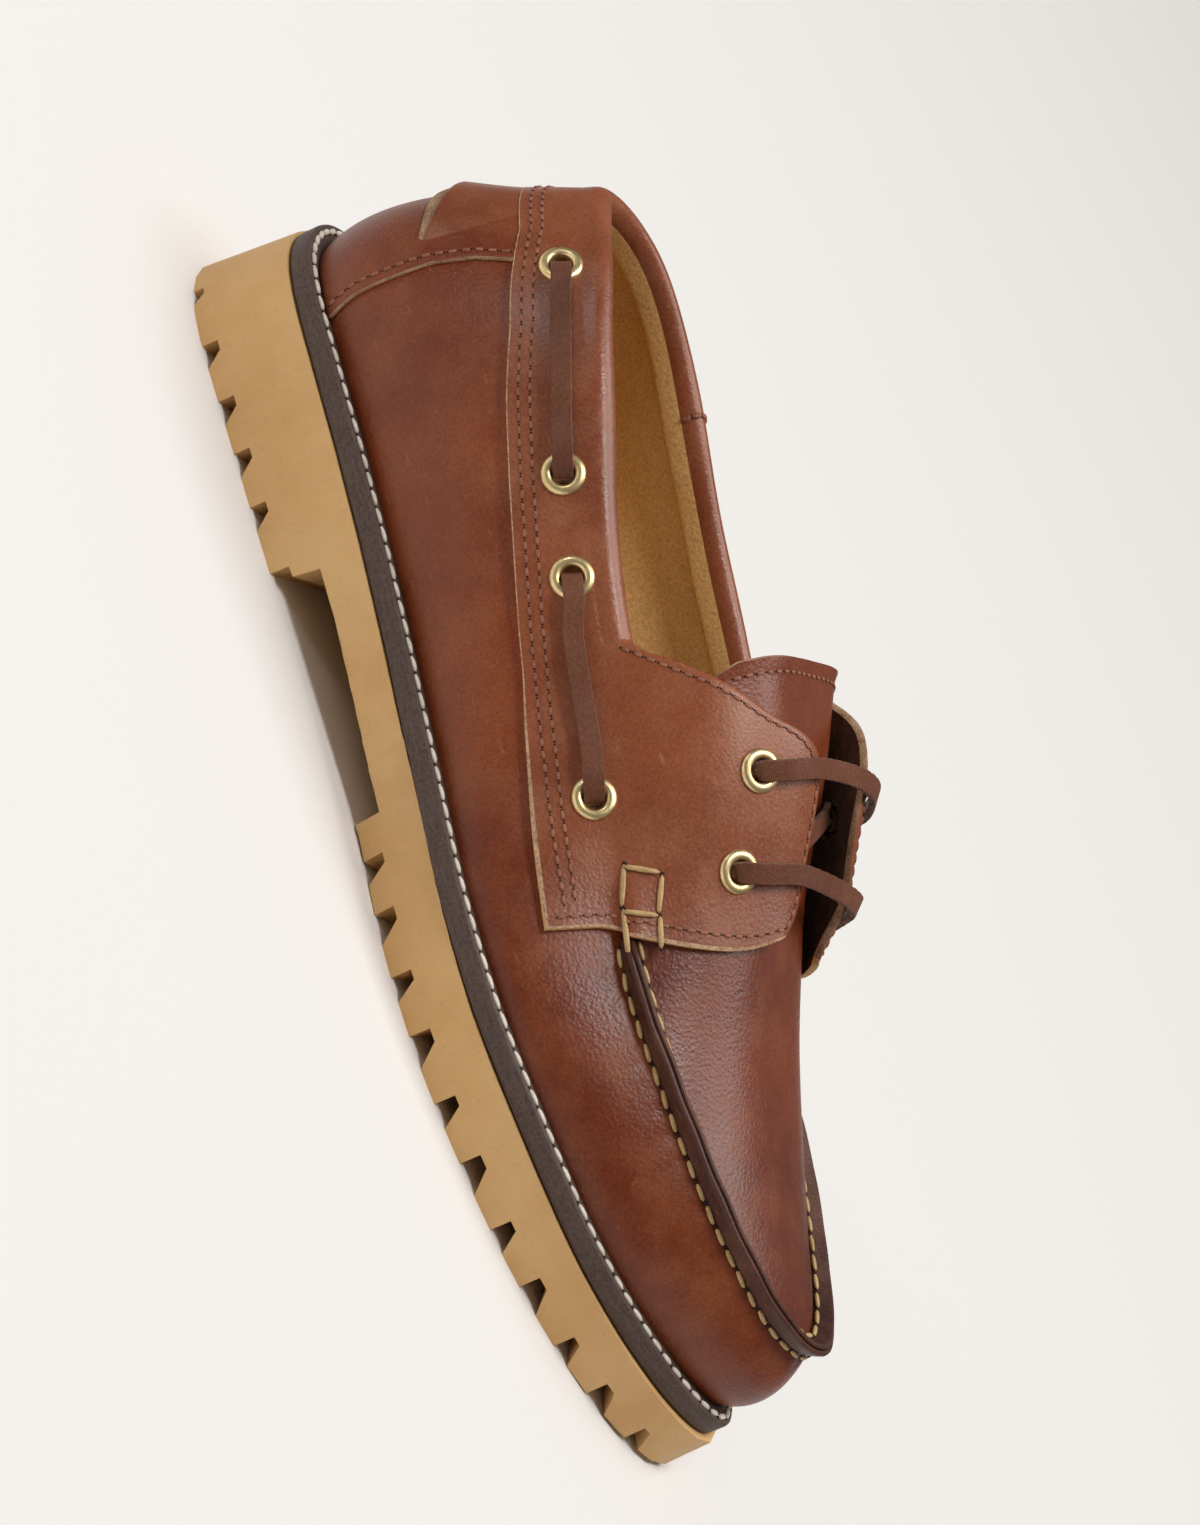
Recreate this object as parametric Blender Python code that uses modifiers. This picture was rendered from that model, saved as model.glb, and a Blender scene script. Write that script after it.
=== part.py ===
"""A right-foot boat moccasin with a lugged rubber sole, as a CAD part for Blender 4.5.

Run it with: blender --background --python part.py

Lengths below are millimetres in the shoe's own frame: x runs from the back of the heel to the toe, y to the
inner (medial) side and z up from the floor. The root empty carries the shoe so that the middle of its
footprint is the world's origin. The shoe's form is a closed row of ribs that rise from the welt to the top
line, and a crown that spans them over the forefoot and instep. Every leather piece is a patch of that form.
"""

import math

import bmesh
import bpy
import numpy as np
from mathutils import Matrix, Vector

MM = 0.001

# ---------------------------------------------------------------------------------------------- driving sizes
WALL = 2.0              # leather and lining of the upper
GAP = 0.3               # clearance between pieces that touch
OVERLAY = 1.5           # leather of the saddle and the heel counter
SEAT = 0.45             # clearance under an overlay, whose facets are coarser than the wall's
WELT_THICKNESS = 5.6
INSOLE_THICKNESS = 3.0
SHARP = math.radians(35)

# One row a rib, from the middle of the heel along the outer side, round the toe and back along the inner side.
# edge is the welt's rim; ledge is how far inside it the upper stands; belly and rise place the lower handle of
# the rib's curve from its foot; shoulder and drop place the upper handle from its top.
RIB_COLUMNS = ("edge_x", "edge_y", "ledge", "belly", "rise", "shoulder", "drop", "top_x", "top_y", "top_z")
RIBS = (
    (-3.4, 3.0, 8.2, 9.0, 16.7, 8.4, 16.9, 16.4, 4.0, 92.2),
    (9.2, -26.8, 5.8, 7.6, 16.7, 8.5, 17.2, 22.6, -7.0, 92.4),
    (32.0, -34.6, 5.0, 7.0, 15.1, 10.5, 15.9, 36.0, -17.5, 91.6),
    (58.0, -38.3, 5.0, 7.0, 13.6, 8.0, 14.1, 58.5, -27.2, 87.4),
    (86.0, -42.0, 5.0, 6.3, 12.1, 6.0, 13.2, 86.0, -32.0, 79.2),
    (111.0, -45.4, 5.0, 6.4, 11.7, 5.5, 12.2, 111.0, -34.7, 72.2),
    (130.0, -49.0, 5.0, 4.8, 11.2, 5.0, 11.7, 128.0, -35.0, 68.6),
    (150.0, -53.6, 5.0, 2.7, 10.7, 4.5, 11.2, 147.0, -35.6, 66.5),
    (170.0, -58.2, 5.0, 1.2, 10.2, 4.8, 11.2, 166.0, -36.6, 62.0),
    (190.0, -59.7, 5.0, 1.2, 9.2, 5.8, 9.2, 185.5, -38.0, 53.0),
    (212.3, -58.4, 5.0, 0.8, 9.2, 6.2, 7.2, 207.0, -38.4, 48.4),
    (232.6, -54.4, 5.0, 0.2, 9.3, 6.2, 7.2, 226.5, -37.0, 47.3),
    (251.2, -48.9, 5.0, 0.0, 9.1, 6.2, 7.5, 243.0, -34.2, 46.4),
    (269.8, -39.0, 5.0, 0.2, 8.7, 6.2, 7.6, 260.0, -29.5, 45.5),
    (286.0, -25.8, 5.0, 2.0, 8.0, 6.4, 8.0, 275.5, -21.5, 44.7),
    (297.6, -10.8, 5.0, 4.0, 7.3, 7.8, 7.6, 287.0, -10.5, 44.1),
    (301.2, 4.0, 5.0, 5.4, 7.0, 8.0, 7.7, 291.3, 4.0, 43.9),
    (293.0, 15.2, 5.0, 5.2, 7.4, 7.0, 7.6, 285.5, 14.4, 44.2),
    (277.0, 28.0, 5.4, 4.4, 8.1, 5.4, 7.7, 271.5, 24.3, 44.9),
    (256.0, 40.3, 5.4, 3.8, 8.8, 4.2, 7.7, 254.0, 33.8, 45.8),
    (232.0, 47.2, 5.6, 3.2, 9.3, 3.6, 7.7, 232.0, 40.4, 47.0),
    (206.0, 49.4, 5.8, 3.2, 9.7, 3.8, 8.2, 207.0, 42.2, 48.6),
    (180.0, 48.7, 5.6, 4.4, 10.2, 4.2, 9.7, 181.0, 41.2, 55.5),
    (155.0, 45.2, 5.0, 6.0, 11.2, 3.8, 11.5, 155.0, 41.4, 67.4),
    (130.0, 39.6, 4.0, 7.4, 12.1, 4.0, 13.0, 129.0, 42.0, 73.6),
    (106.0, 38.4, 3.6, 7.2, 12.6, 4.2, 14.0, 106.0, 41.0, 77.4),
    (82.0, 42.0, 4.2, 5.0, 13.1, 5.2, 14.7, 82.0, 37.4, 82.8),
    (58.0, 45.4, 5.6, 4.6, 14.1, 6.8, 15.2, 58.0, 34.6, 88.0),
    (36.0, 42.0, 6.2, 6.4, 15.7, 8.0, 16.2, 38.0, 29.0, 91.8),
    (13.8, 31.0, 6.6, 8.0, 16.7, 8.4, 16.8, 23.8, 19.5, 92.8),
)

# Height of the crown along its middle, and how square its shoulders are (2 is a plain parabola).
CROWN = (
    # x, height, fullness
    (122.0, 106.0, 4.2),
    (140.0, 102.6, 4.2),
    (150.0, 99.6, 4.1),
    (165.0, 93.4, 4.0),
    (178.0, 86.0, 3.8),
    (190.0, 79.0, 3.5),
    (205.0, 72.4, 3.1),
    (222.0, 65.4, 2.7),
    (236.0, 60.4, 2.5),
    (252.0, 55.6, 2.3),
    (268.0, 51.4, 2.2),
    (281.0, 48.0, 2.1),
    (291.3, 43.9, 2.0),
)

# Side profile of the rubber: its underside, and the line where the welt begins.
UNDERSIDE = (
    # x, height
    (-12.0, 0.0),
    (81.4, 0.0),
    (81.6, 5.0),
    (84.4, 5.2),
    (85.4, 12.2),
    (99.0, 11.8),
    (118.0, 10.1),
    (136.0, 8.3),
    (146.1, 7.8),
    (146.3, 0.8),
    (160.0, 0.4),
    (176.0, 0.0),
    (276.0, 0.0),
    (290.0, 0.6),
    (312.0, 2.0),
)
WELT_LINE = (
    # x, height
    (-12.0, 25.4),
    (10.0, 25.2),
    (35.0, 24.7),
    (60.0, 24.0),
    (82.0, 22.9),
    (104.0, 21.3),
    (126.0, 19.7),
    (150.0, 18.4),
    (175.0, 17.2),
    (200.0, 16.0),
    (225.0, 15.6),
    (245.0, 15.1),
    (262.0, 14.4),
    (278.0, 14.0),
    (292.0, 13.9),
    (312.0, 13.9),
)

# How far the rubber stands out past the welt.
FLANGE = (
    # edge_x, edge_y (below 4 on the outer side), at the welt, at the floor
    (-3.4, 3.0, 0.8, 3.6),
    (32.0, -34.6, 0.2, 0.8),
    (111.0, -45.4, 0.2, -0.8),
    (148.0, -53.0, 0.2, -6.0),
    (166.0, -57.2, 0.2, -4.6),
    (184.0, -59.4, 0.3, -2.0),
    (206.0, -59.0, 0.4, 0.6),
    (251.2, -48.9, 0.6, 1.4),
    (286.0, -25.8, 1.0, 2.2),
    (301.2, 4.0, 1.6, 3.0),
    (277.0, 28.0, 3.0, 4.4),
    (232.0, 47.2, 3.2, 4.0),
    (180.0, 48.7, 2.8, 3.6),
    (106.0, 38.4, 1.4, 2.0),
    (58.0, 45.4, 1.0, 1.6),
)

# Lugs of the sole: widths along the rim, and the notches between them.
HEEL_NOTCHES_X = (24.1, 39.0, 53.0, 67.3)   # middles of the heel's notches, the same on both sides
HEEL_NOTCH_WIDTH = 6.4
HEEL_NOTCH_DEPTH = 4.2
HEEL_CORNER_NOTCH = (8.0, 4.8, 2.8)         # x, width and depth of the small notch at each back corner
FORE_FIRST_X = 146.3                        # back of the first lug of the forefoot
FORE_LUG_WIDTH = 8.4
FORE_NOTCH_WIDTHS = (6.2, 8.0)              # in turn
FORE_NOTCH_DEPTH = 5.4
NOTCH_REACH = 17.0                          # from the rim inward
NOTCH_START = 9.0                           # outside the rim
NOTCH_ROOF = 0.42                           # share of the notch's width that its roof keeps

THROAT_X = 180.0        # back edge of the apron, where the tongue begins


def spline(knots, values, period=None):
    """A cubic through the values at the knots, closed if a period is given; returns a function of the parameter."""
    knots = np.asarray(knots, float)
    values = np.asarray(values, float).reshape(len(knots), -1)
    if period:
        knots = np.append(knots, knots[0] + period)
        values = np.vstack((values, values[:1]))
    steps = np.diff(knots)
    slopes = np.diff(values, axis=0) / steps[:, None]
    last = len(knots) - 1
    system = np.zeros((last + 1, last + 1))
    target = np.zeros_like(values)
    for here in range(1, last):
        system[here, here - 1] = steps[here]
        system[here, here] = 2 * (steps[here - 1] + steps[here])
        system[here, here + 1] = steps[here - 1]
        target[here] = 3 * (steps[here] * slopes[here - 1] + steps[here - 1] * slopes[here])
    if period:
        system[0, last - 1] = steps[0]
        system[0, 0] = 2 * (steps[-1] + steps[0])
        system[0, 1] = steps[-1]
        target[0] = 3 * (steps[0] * slopes[-1] + steps[-1] * slopes[0])
        system[last, last] = 1
        system[last, 0] = -1
    else:
        system[0, :2] = (2, 1)
        target[0] = 3 * slopes[0]
        system[last, -2:] = (1, 2)
        target[last] = 3 * slopes[-1]
    tangents = np.linalg.solve(system, target)

    def read(where):
        where = np.atleast_1d(np.asarray(where, float))
        if period:
            where = (where - knots[0]) % period + knots[0]
        span = np.clip(np.searchsorted(knots, where, side="right") - 1, 0, last - 1)
        width = steps[span][:, None]
        share = (where[:, None] - knots[span][:, None]) / width
        start, end = values[span], values[span + 1]
        pull_start, pull_end = tangents[span] * width, tangents[span + 1] * width
        return (
            start * (1 + 2 * share) * (1 - share) ** 2
            + pull_start * share * (1 - share) ** 2
            + end * share**2 * (3 - 2 * share)
            + pull_end * share**2 * (share - 1)
        )

    return read


def profile(table):
    """A straight-line profile as a function of x."""
    rows = np.array(table)
    return lambda x: np.interp(x, rows[:, 0], rows[:, 1])


welt_line = profile(WELT_LINE)
underside = profile(UNDERSIDE)


def welt_top(x):
    return welt_line(x) + GAP + WELT_THICKNESS


class Form:
    """The outer form of the shoe, read by station (millimetres along the welt's rim from the heel) and by share."""

    def __init__(self):
        table = np.array(RIBS)
        edge = table[:, :2]
        lengths = np.linalg.norm(np.roll(edge, -1, axis=0) - edge, axis=1)
        knots = np.concatenate(([0.0], np.cumsum(lengths)[:-1]))
        self.length = lengths.sum()
        self.knots = knots
        self.read = spline(knots, table, self.length)
        self.toe = knots[np.argmax(edge[:, 0])]
        crown = np.array(CROWN)
        self.read_crown = spline(crown[:, 0], crown[:, 1:])
        lateral = np.linspace(0, self.toe, 900)
        medial = np.linspace(self.toe, self.length, 900)
        self.sides = {"lateral": lateral, "medial": medial[::-1]}
        self.side_x = {side: self.read(stations)[:, 0] for side, stations in self.sides.items()}
        self.side_top_x = {side: self.read(stations)[:, 7] for side, stations in self.sides.items()}

    def column(self, station, name):
        return self.read(station)[:, RIB_COLUMNS.index(name)]

    def station_at(self, x, side):
        """The station whose rim lies at x on that side."""
        return np.interp(x, self.side_x[side], self.sides[side])

    def station_of_top(self, x, side):
        """The station whose rib ends at x on that side."""
        return np.interp(x, self.side_top_x[side], self.sides[side])

    def edge(self, station):
        return self.read(station)[:, :2]

    def outward(self, station):
        station = np.atleast_1d(station)
        along = self.edge(station + 0.5) - self.edge(station - 0.5)
        across = np.column_stack((along[:, 1], -along[:, 0]))
        return across / np.linalg.norm(across, axis=1)[:, None]

    def rim(self, station, overhang=0.0):
        """Plan points of the welt's rim, moved outward by the overhang."""
        return self.edge(station) + np.reshape(overhang, (-1, 1)) * self.outward(station)

    def rib_ends(self, station):
        row = self.read(station)
        normal = self.outward(station)
        foot = row[:, :2] - row[:, 2:3] * normal
        foot = np.column_stack((foot, welt_top(foot[:, 0]) + GAP))
        return row, normal, foot, row[:, 7:10]

    def wall(self, station, share):
        """The rib at each station, from its foot (share 0) to the top line (share 1)."""
        row, normal, foot, top = self.rib_ends(station)
        share = np.reshape(share, (-1, 1))
        flat = np.column_stack((normal, np.zeros(len(normal))))
        up = np.array([0.0, 0.0, 1.0])
        low = foot + row[:, 3:4] * flat + row[:, 4:5] * up
        high = top + row[:, 5:6] * flat - row[:, 6:7] * up
        return (
            foot * (1 - share) ** 3
            + 3 * low * share * (1 - share) ** 2
            + 3 * high * share**2 * (1 - share)
            + top * share**3
        )

    def crown(self, x, across):
        """The crown at x, from the outer side (across 0) to the inner side (across 1)."""
        x = np.atleast_1d(np.asarray(x, float))
        across = np.reshape(across, (-1, 1))
        outer = self.read(self.station_of_top(x, "lateral"))[:, 7:10]
        inner = self.read(self.station_of_top(x, "medial"))[:, 7:10]
        height, fullness = self.read_crown(x).T
        base = outer + (inner - outer) * across
        rise = np.maximum(height - (outer[:, 2] + inner[:, 2]) / 2, 0)
        bow = 1 - np.abs(2 * across[:, 0] - 1) ** fullness
        return np.column_stack((base[:, 0], base[:, 1], base[:, 2] + rise * bow))

    def surface(self, station, share):
        """The whole form: share 0 to 1 climbs the rib, and 1 to 2 goes on over the crown to its middle."""
        station = np.atleast_1d(np.asarray(station, float))
        share = np.atleast_1d(np.asarray(share, float))
        station, share = np.broadcast_arrays(station, share)
        points = self.wall(station, np.minimum(share, 1))
        over = share > 1
        if over.any():
            half = (share[over] - 1) / 2
            lateral = station[over] % self.length < self.toe
            across = np.where(lateral, half, 1 - half)
            points[over] = self.crown(self.column(station[over], "top_x"), across)
        return points

    def normals(self, station, share):
        """Outward unit normals, by differences along and across the ribs."""
        station = np.atleast_1d(np.asarray(station, float))
        share = np.atleast_1d(np.asarray(share, float))
        station, share = np.broadcast_arrays(station, share)
        along = self.surface(station + 0.4, share) - self.surface(station - 0.4, share)
        climb = self.surface(station, share + 0.004) - self.surface(station, share - 0.004)
        cross = np.cross(along, climb)
        return cross / np.linalg.norm(cross, axis=1)[:, None]


FORM = Form()


# ------------------------------------------------------------------------------------------------ scene set-up
def clear_scene():
    for found in list(bpy.data.objects):
        bpy.data.objects.remove(found, do_unlink=True)


def new_collection(name, hidden=False):
    made = bpy.data.collections.new(name)
    bpy.context.scene.collection.children.link(made)
    made.hide_render = hidden
    return made


def make_material(name, colour, roughness, metallic=0.0):
    made = bpy.data.materials.new(name)
    made.use_nodes = True
    shader = made.node_tree.nodes["Principled BSDF"]
    shader.inputs["Base Color"].default_value = (*colour, 1.0)
    shader.inputs["Roughness"].default_value = roughness
    shader.inputs["Metallic"].default_value = metallic
    return made


clear_scene()
SHOE = new_collection("boat_moccasin")
CUTTERS = new_collection("cutters", hidden=True)
MATERIALS = {
    "leather": make_material("leather", (0.30, 0.085, 0.03), 0.42),
    "seam_leather": make_material("seam_leather", (0.13, 0.035, 0.015), 0.5),
    "lace_leather": make_material("lace_leather", (0.10, 0.035, 0.025), 0.55),
    "sock_leather": make_material("sock_leather", (0.42, 0.20, 0.07), 0.6),
    "welt": make_material("welt", (0.09, 0.05, 0.035), 0.65),
    "gum": make_material("gum", (0.60, 0.34, 0.13), 0.7),
    "brass": make_material("brass", (0.72, 0.48, 0.16), 0.3, 1.0),
}


def footprint_centre():
    """Middle of the shoe's bounding box in plan, from the rubber's side."""
    stations = np.linspace(0, FORM.length, 721)[:-1]
    plan = np.vstack([sole_rim(stations, depth) for depth in (0.3, 1.0)])
    return (plan.min(axis=0) + plan.max(axis=0)) / 2


def sole_rim(stations, depth):
    """Plan of the rubber's side, from the welt (depth 0) to the floor (depth 1)."""
    rows = np.array(FLANGE)
    lateral = rows[:, 1] < 4
    lateral[0] = True
    places = [
        float(FORM.station_at(x, "lateral" if outer else "medial"))
        for (x, _, _, _), outer in zip(FLANGE, lateral, strict=True)
    ]
    read = spline(places, rows[:, 2:], FORM.length)
    at_welt, at_floor = read(stations).T
    return FORM.rim(stations, at_welt + (at_floor - at_welt) * depth)


ROOT = bpy.data.objects.new("root", None)
ROOT.empty_display_size = 0.05
SHOE.objects.link(ROOT)
CENTRE = footprint_centre()
ROOT.location = (-CENTRE[0] * MM, -CENTRE[1] * MM, 0)


def place(name, mesh, material=None, collection=None):
    """An object under the root, or a hidden helper in the cutters' collection."""
    mesh.shade_smooth()
    mesh.set_sharp_from_angle(angle=SHARP)
    made = bpy.data.objects.new(name, mesh)
    (collection or SHOE).objects.link(made)
    made.parent = ROOT
    if material:
        mesh.materials.clear()
        mesh.materials.append(MATERIALS[material])
    if collection is CUTTERS:
        made.hide_render = True
        made.display_type = "WIRE"
    return made


def mesh_of(name, points, faces, closed=True):
    """A mesh from millimetre points. A closed one has its faces turned outward; an open one keeps its order."""
    mesh = bpy.data.meshes.new(name)
    mesh.from_pydata([Vector(point) * MM for point in points], [], faces)
    if closed:
        work = bmesh.new()
        work.from_mesh(mesh)
        bmesh.ops.recalc_face_normals(work, faces=work.faces)
        work.to_mesh(mesh)
        work.free()
    return mesh


def loft(name, rings):
    """A closed mesh through rings of as many points each, capped at both ends."""
    count = len(rings[0])
    points = [point for ring in rings for point in ring]
    faces = []
    for level in range(len(rings) - 1):
        for here in range(count):
            after = (here + 1) % count
            low = level * count
            faces.append((low + here, low + after, low + count + after, low + count + here))
    faces.append(tuple(reversed(range(count))))
    faces.append(tuple(range(len(points) - count, len(points))))
    return mesh_of(name, points, faces)


def sheet(name, grid):
    """An open mesh over rows of points that run along the shoe, each row climbing; its front is outward."""
    columns = len(grid[0])
    points = [point for row in grid for point in row]
    faces = []
    for row in range(len(grid) - 1):
        for column in range(columns - 1):
            first = row * columns + column
            faces.append((first, first + columns, first + columns + 1, first + 1))
    return mesh_of(name, points, faces, closed=False)


def boolean(target, cutter, operation):
    modifier = target.modifiers.new(f"{operation.lower()} {cutter.name}", "BOOLEAN")
    modifier.operation = operation
    modifier.object = cutter
    modifier.solver = "EXACT"
    return modifier


def side_profile(name, outline, reach=80.0):
    """A slab across the shoe with this outline in x and z, for cutting a plan form to its height."""
    rings = [[(x, y, z) for x, z in outline] for y in (-reach, reach)]
    return place(name, loft(name, rings), collection=CUTTERS)


def plan_block(name, low_ring, high_ring, low, high, material):
    """A block between two plan outlines, each at its own height."""
    rings = [
        [(x, y, low) for x, y in low_ring],
        [(x, y, high) for x, y in high_ring],
    ]
    return place(name, loft(name, rings), material)


RIM_POINTS = 96
INSOLE_POINTS = 64
PROFILE_X = (-12.0, 35.0, 60.0, 82.0, 104.0, 126.0, 150.0, 175.0, 200.0, 225.0, 245.0, 262.0, 278.0, 292.0, 312.0)


def rim_stations(count=RIM_POINTS):
    return np.linspace(0, FORM.length, count + 1)[:-1]


# ---------------------------------------------------------------------------------------------------- the sole
RECESS_INSET = 16.0     # from the rim to the recess inside the ring of lugs
HEEL_RECESS = (18.0, 66.0)
FORE_RECESS = (160.0, 262.0)
PADS = (
    # x, y of the plus-shaped pads that stand in the recesses
    (43.0, 4.5),
    (177.0, -5.0),
    (199.0, -4.5),
    (221.0, -2.0),
    (243.0, 1.5),
)
PAD_ARM = 9.5
PAD_WIDTH = 6.0


def boolean_group(target, cutters):
    """Takes every object of the collection away at once. The channels run into each other near the toe."""
    modifier = target.modifiers.new("cut the tread", "BOOLEAN")
    modifier.operation = "DIFFERENCE"
    modifier.operand_type = "COLLECTION"
    modifier.collection = cutters
    modifier.solver = "MANIFOLD"


def tread_pad(name, x, y, low, high):
    """A plus-shaped prism, turned to stand on its diagonals."""
    half = PAD_WIDTH / 2
    corners = [(PAD_ARM, -half), (PAD_ARM, half), (half, half), (half, PAD_ARM), (-half, PAD_ARM), (-half, half)]
    corners += [(-along, -across) for along, across in corners]
    turned = [Matrix.Rotation(math.radians(45), 2) @ Vector(corner) for corner in corners]
    rings = [[(x + corner.x, y + corner.y, z) for corner in turned] for z in (low, high)]
    return place(name, loft(name, rings), collection=CUTTERS)


def tread_recess(name, span, depth, tread):
    """The hollow inside the ring of lugs, with its pads left standing."""
    sides = []
    for side in ("lateral", "medial"):
        ends = [float(FORM.station_at(x, side)) for x in span]
        sides.append(list(FORM.rim(np.linspace(*ends, 12), -RECESS_INSET)))
    plan = sides[0] + sides[1][::-1]
    rings = [[(x, y, z) for x, y in plan] for z in (-3.0, depth)]
    hollow = place(name, loft(name, rings), collection=CUTTERS)
    tread.objects.link(hollow)
    for number, (x, y) in enumerate(PADS, 1):
        if span[0] < x < span[1]:
            boolean(hollow, tread_pad(f"tread_pad_{number}", x, y, -5.0, depth + 2.0), "DIFFERENCE")


def notch_cutter(name, station, width, depth, base, tread):
    """A channel from the rim inward: an upright wall behind, a roof, and a slope toward the toe."""
    edge = FORM.edge(station)[0]
    outward = FORM.outward(station)[0]
    forward = np.array([-outward[1], outward[0]])
    if forward[0] < 0:
        forward = -forward
    half = width / 2
    roof_end = -half + width * NOTCH_ROOF
    below = 3.0
    slope_end = half + (half - roof_end) * below / depth
    outline = [(-half, -below), (-half, depth), (roof_end, depth), (slope_end, -below)]
    rings = []
    for out in (NOTCH_START, -NOTCH_REACH):
        ring = []
        for along, up in outline:
            plan = edge + outward * out + forward * along
            ring.append((plan[0], plan[1], base + up))
        rings.append(ring)
    tread.objects.link(place(name, loft(name, rings), collection=CUTTERS))


def fore_notches(side):
    """Stations and widths of the forefoot's notches on one side, counted from the first lug to the toe."""
    heading = 1 if side == "lateral" else -1
    station = float(FORM.station_at(FORE_FIRST_X, side)) + heading * FORE_LUG_WIDTH
    found = []
    while heading * (FORM.toe - station) > FORE_LUG_WIDTH:
        width = FORE_NOTCH_WIDTHS[len(found) % len(FORE_NOTCH_WIDTHS)]
        found.append((station + heading * width / 2, width))
        station += heading * (width + FORE_LUG_WIDTH)
    return found


def make_outsole():
    stations = rim_stations()
    body = plan_block("outsole", sole_rim(stations, 1.0), sole_rim(stations, -0.3), -2.0, 34.0, "gum")
    over = [(x, float(welt_line(x))) for x in PROFILE_X]
    boolean(body, side_profile("sole_profile", list(UNDERSIDE) + over[::-1]), "INTERSECT")
    body.modifiers.new("flat faces", "TRIANGULATE")
    tread = new_collection("tread_cutters", hidden=True)
    for side in ("lateral", "medial"):
        cuts = [
            (float(FORM.station_at(x, side)), HEEL_NOTCH_WIDTH, HEEL_NOTCH_DEPTH) for x in HEEL_NOTCHES_X
        ]
        corner_x, *corner_size = HEEL_CORNER_NOTCH
        cuts.append((float(FORM.station_at(corner_x, side)), *corner_size))
        cuts += [(station, width, FORE_NOTCH_DEPTH) for station, width in fore_notches(side)]
        for number, (station, width, depth) in enumerate(cuts, 1):
            x = float(FORM.edge(station)[0, 0])
            base = float(underside(max(x, FORE_FIRST_X))) if x > FORE_FIRST_X else 0.0
            notch_cutter(f"notch_{side}_{number:02d}", station, width, depth, base, tread)
    tread_recess("heel_recess", HEEL_RECESS, HEEL_NOTCH_DEPTH, tread)
    tread_recess("fore_recess", FORE_RECESS, FORE_NOTCH_DEPTH, tread)
    boolean_group(body, tread)
    return body


def make_welt():
    stations = rim_stations()
    rim = FORM.rim(stations)
    body = plan_block("welt", rim, rim, 5.0, 50.0, "welt")
    low = [(x, float(welt_line(x)) + GAP) for x in PROFILE_X]
    high = [(x, float(welt_top(x))) for x in PROFILE_X]
    boolean(body, side_profile("welt_profile", low + high[::-1]), "INTERSECT")
    return body


def make_insole():
    stations = rim_stations(INSOLE_POINTS)
    _, outward, foot, _ = FORM.rib_ends(stations)
    rim = foot[:, :2] - outward * (WALL + 1.0)
    body = plan_block("insole", rim, rim, 5.0, 50.0, "sock_leather")
    low = [(x, float(welt_top(x)) + GAP) for x in PROFILE_X]
    high = [(x, z + INSOLE_THICKNESS) for x, z in low]
    boolean(body, side_profile("insole_profile", low + high[::-1]), "INTERSECT")
    return body


# --------------------------------------------------------------------------------------------------- the upper
RIB_SHARES = (0.0, 0.1, 0.22, 0.36, 0.5, 0.64, 0.78, 0.9, 1.0)
TOE_STEPS = 13          # ribs on each side between the throat and the toe
HEEL_STEPS = 32         # ribs round the rest
CROWN_STEPS = 10        # across the apron


def toe_x(back, steps):
    """Places along the apron, closer together toward the toe."""
    tip = float(FORM.column(FORM.toe, "top_x")[0])
    return [back + (tip - back) * math.sin(math.pi / 2 * step / steps) for step in range(steps + 1)]


def across_shares(steps):
    """Shares across the crown, closer together at its shoulders."""
    return [(1 - math.cos(math.pi * step / steps)) / 2 for step in range(steps + 1)]


def solidify(made, thickness, offset=-1.0):
    modifier = made.modifiers.new("wall", "SOLIDIFY")
    modifier.thickness = thickness * MM
    modifier.offset = offset
    modifier.use_even_offset = True
    return modifier


def make_upper():
    chords = toe_x(THROAT_X, TOE_STEPS)
    outer = [float(FORM.station_of_top(x, "lateral")) for x in chords[:-1]]
    inner = [float(FORM.station_of_top(x, "medial")) for x in chords[:-1]]
    ring = outer + [FORM.toe] + inner[::-1]
    heel = np.linspace(inner[0], outer[0] + FORM.length, HEEL_STEPS + 1)[1:-1]
    ring += list(heel)
    count = len(ring)
    points = []
    for share in RIB_SHARES:
        points += list(FORM.wall(np.array(ring), np.full(count, share)))
    faces = []
    for level in range(len(RIB_SHARES) - 1):
        for here in range(count):
            after = (here + 1) % count
            low, high = level * count, (level + 1) * count
            faces.append((low + here, low + after, high + after, high + here))
    top = (len(RIB_SHARES) - 1) * count
    shares = across_shares(CROWN_STEPS)
    rows = []
    for number, x in enumerate(chords[:-1]):
        row = [top + number]
        for share in shares[1:-1]:
            row.append(len(points))
            points.append(FORM.crown(x, share)[0])
        row.append(top + 2 * TOE_STEPS - number)
        rows.append(row)
    for back, front in zip(rows, rows[1:]):
        for column in range(CROWN_STEPS):
            faces.append((back[column], front[column], front[column + 1], back[column + 1]))
    tip = top + TOE_STEPS
    last = rows[-1]
    for column in range(CROWN_STEPS):
        faces.append((last[column], tip, last[column + 1]))
    made = place("upper", mesh_of("upper", points, faces, closed=False), "leather")
    solidify(made, WALL)
    return made


def overlay(name, grid, thickness, material):
    """Leather of this thickness on the outer side of a grid of points."""
    made = place(name, sheet(name, grid), material)
    solidify(made, thickness, offset=1.0)
    return made


# ------------------------------------------------------------------------------------------------- the overlays
# Lower edge of the saddle, by the rim's x: the same height on both sides.
SADDLE_LOW = (
    # x, height
    (0.0, 78.8),
    (18.0, 78.8),
    (30.0, 76.7),
    (49.0, 72.6),
    (66.0, 66.9),
    (84.0, 61.7),
    (101.0, 57.2),
    (120.0, 52.2),
    (143.0, 46.8),
    (163.0, 42.8),
    (180.0, 39.8),
    (192.0, 37.6),
)
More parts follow.
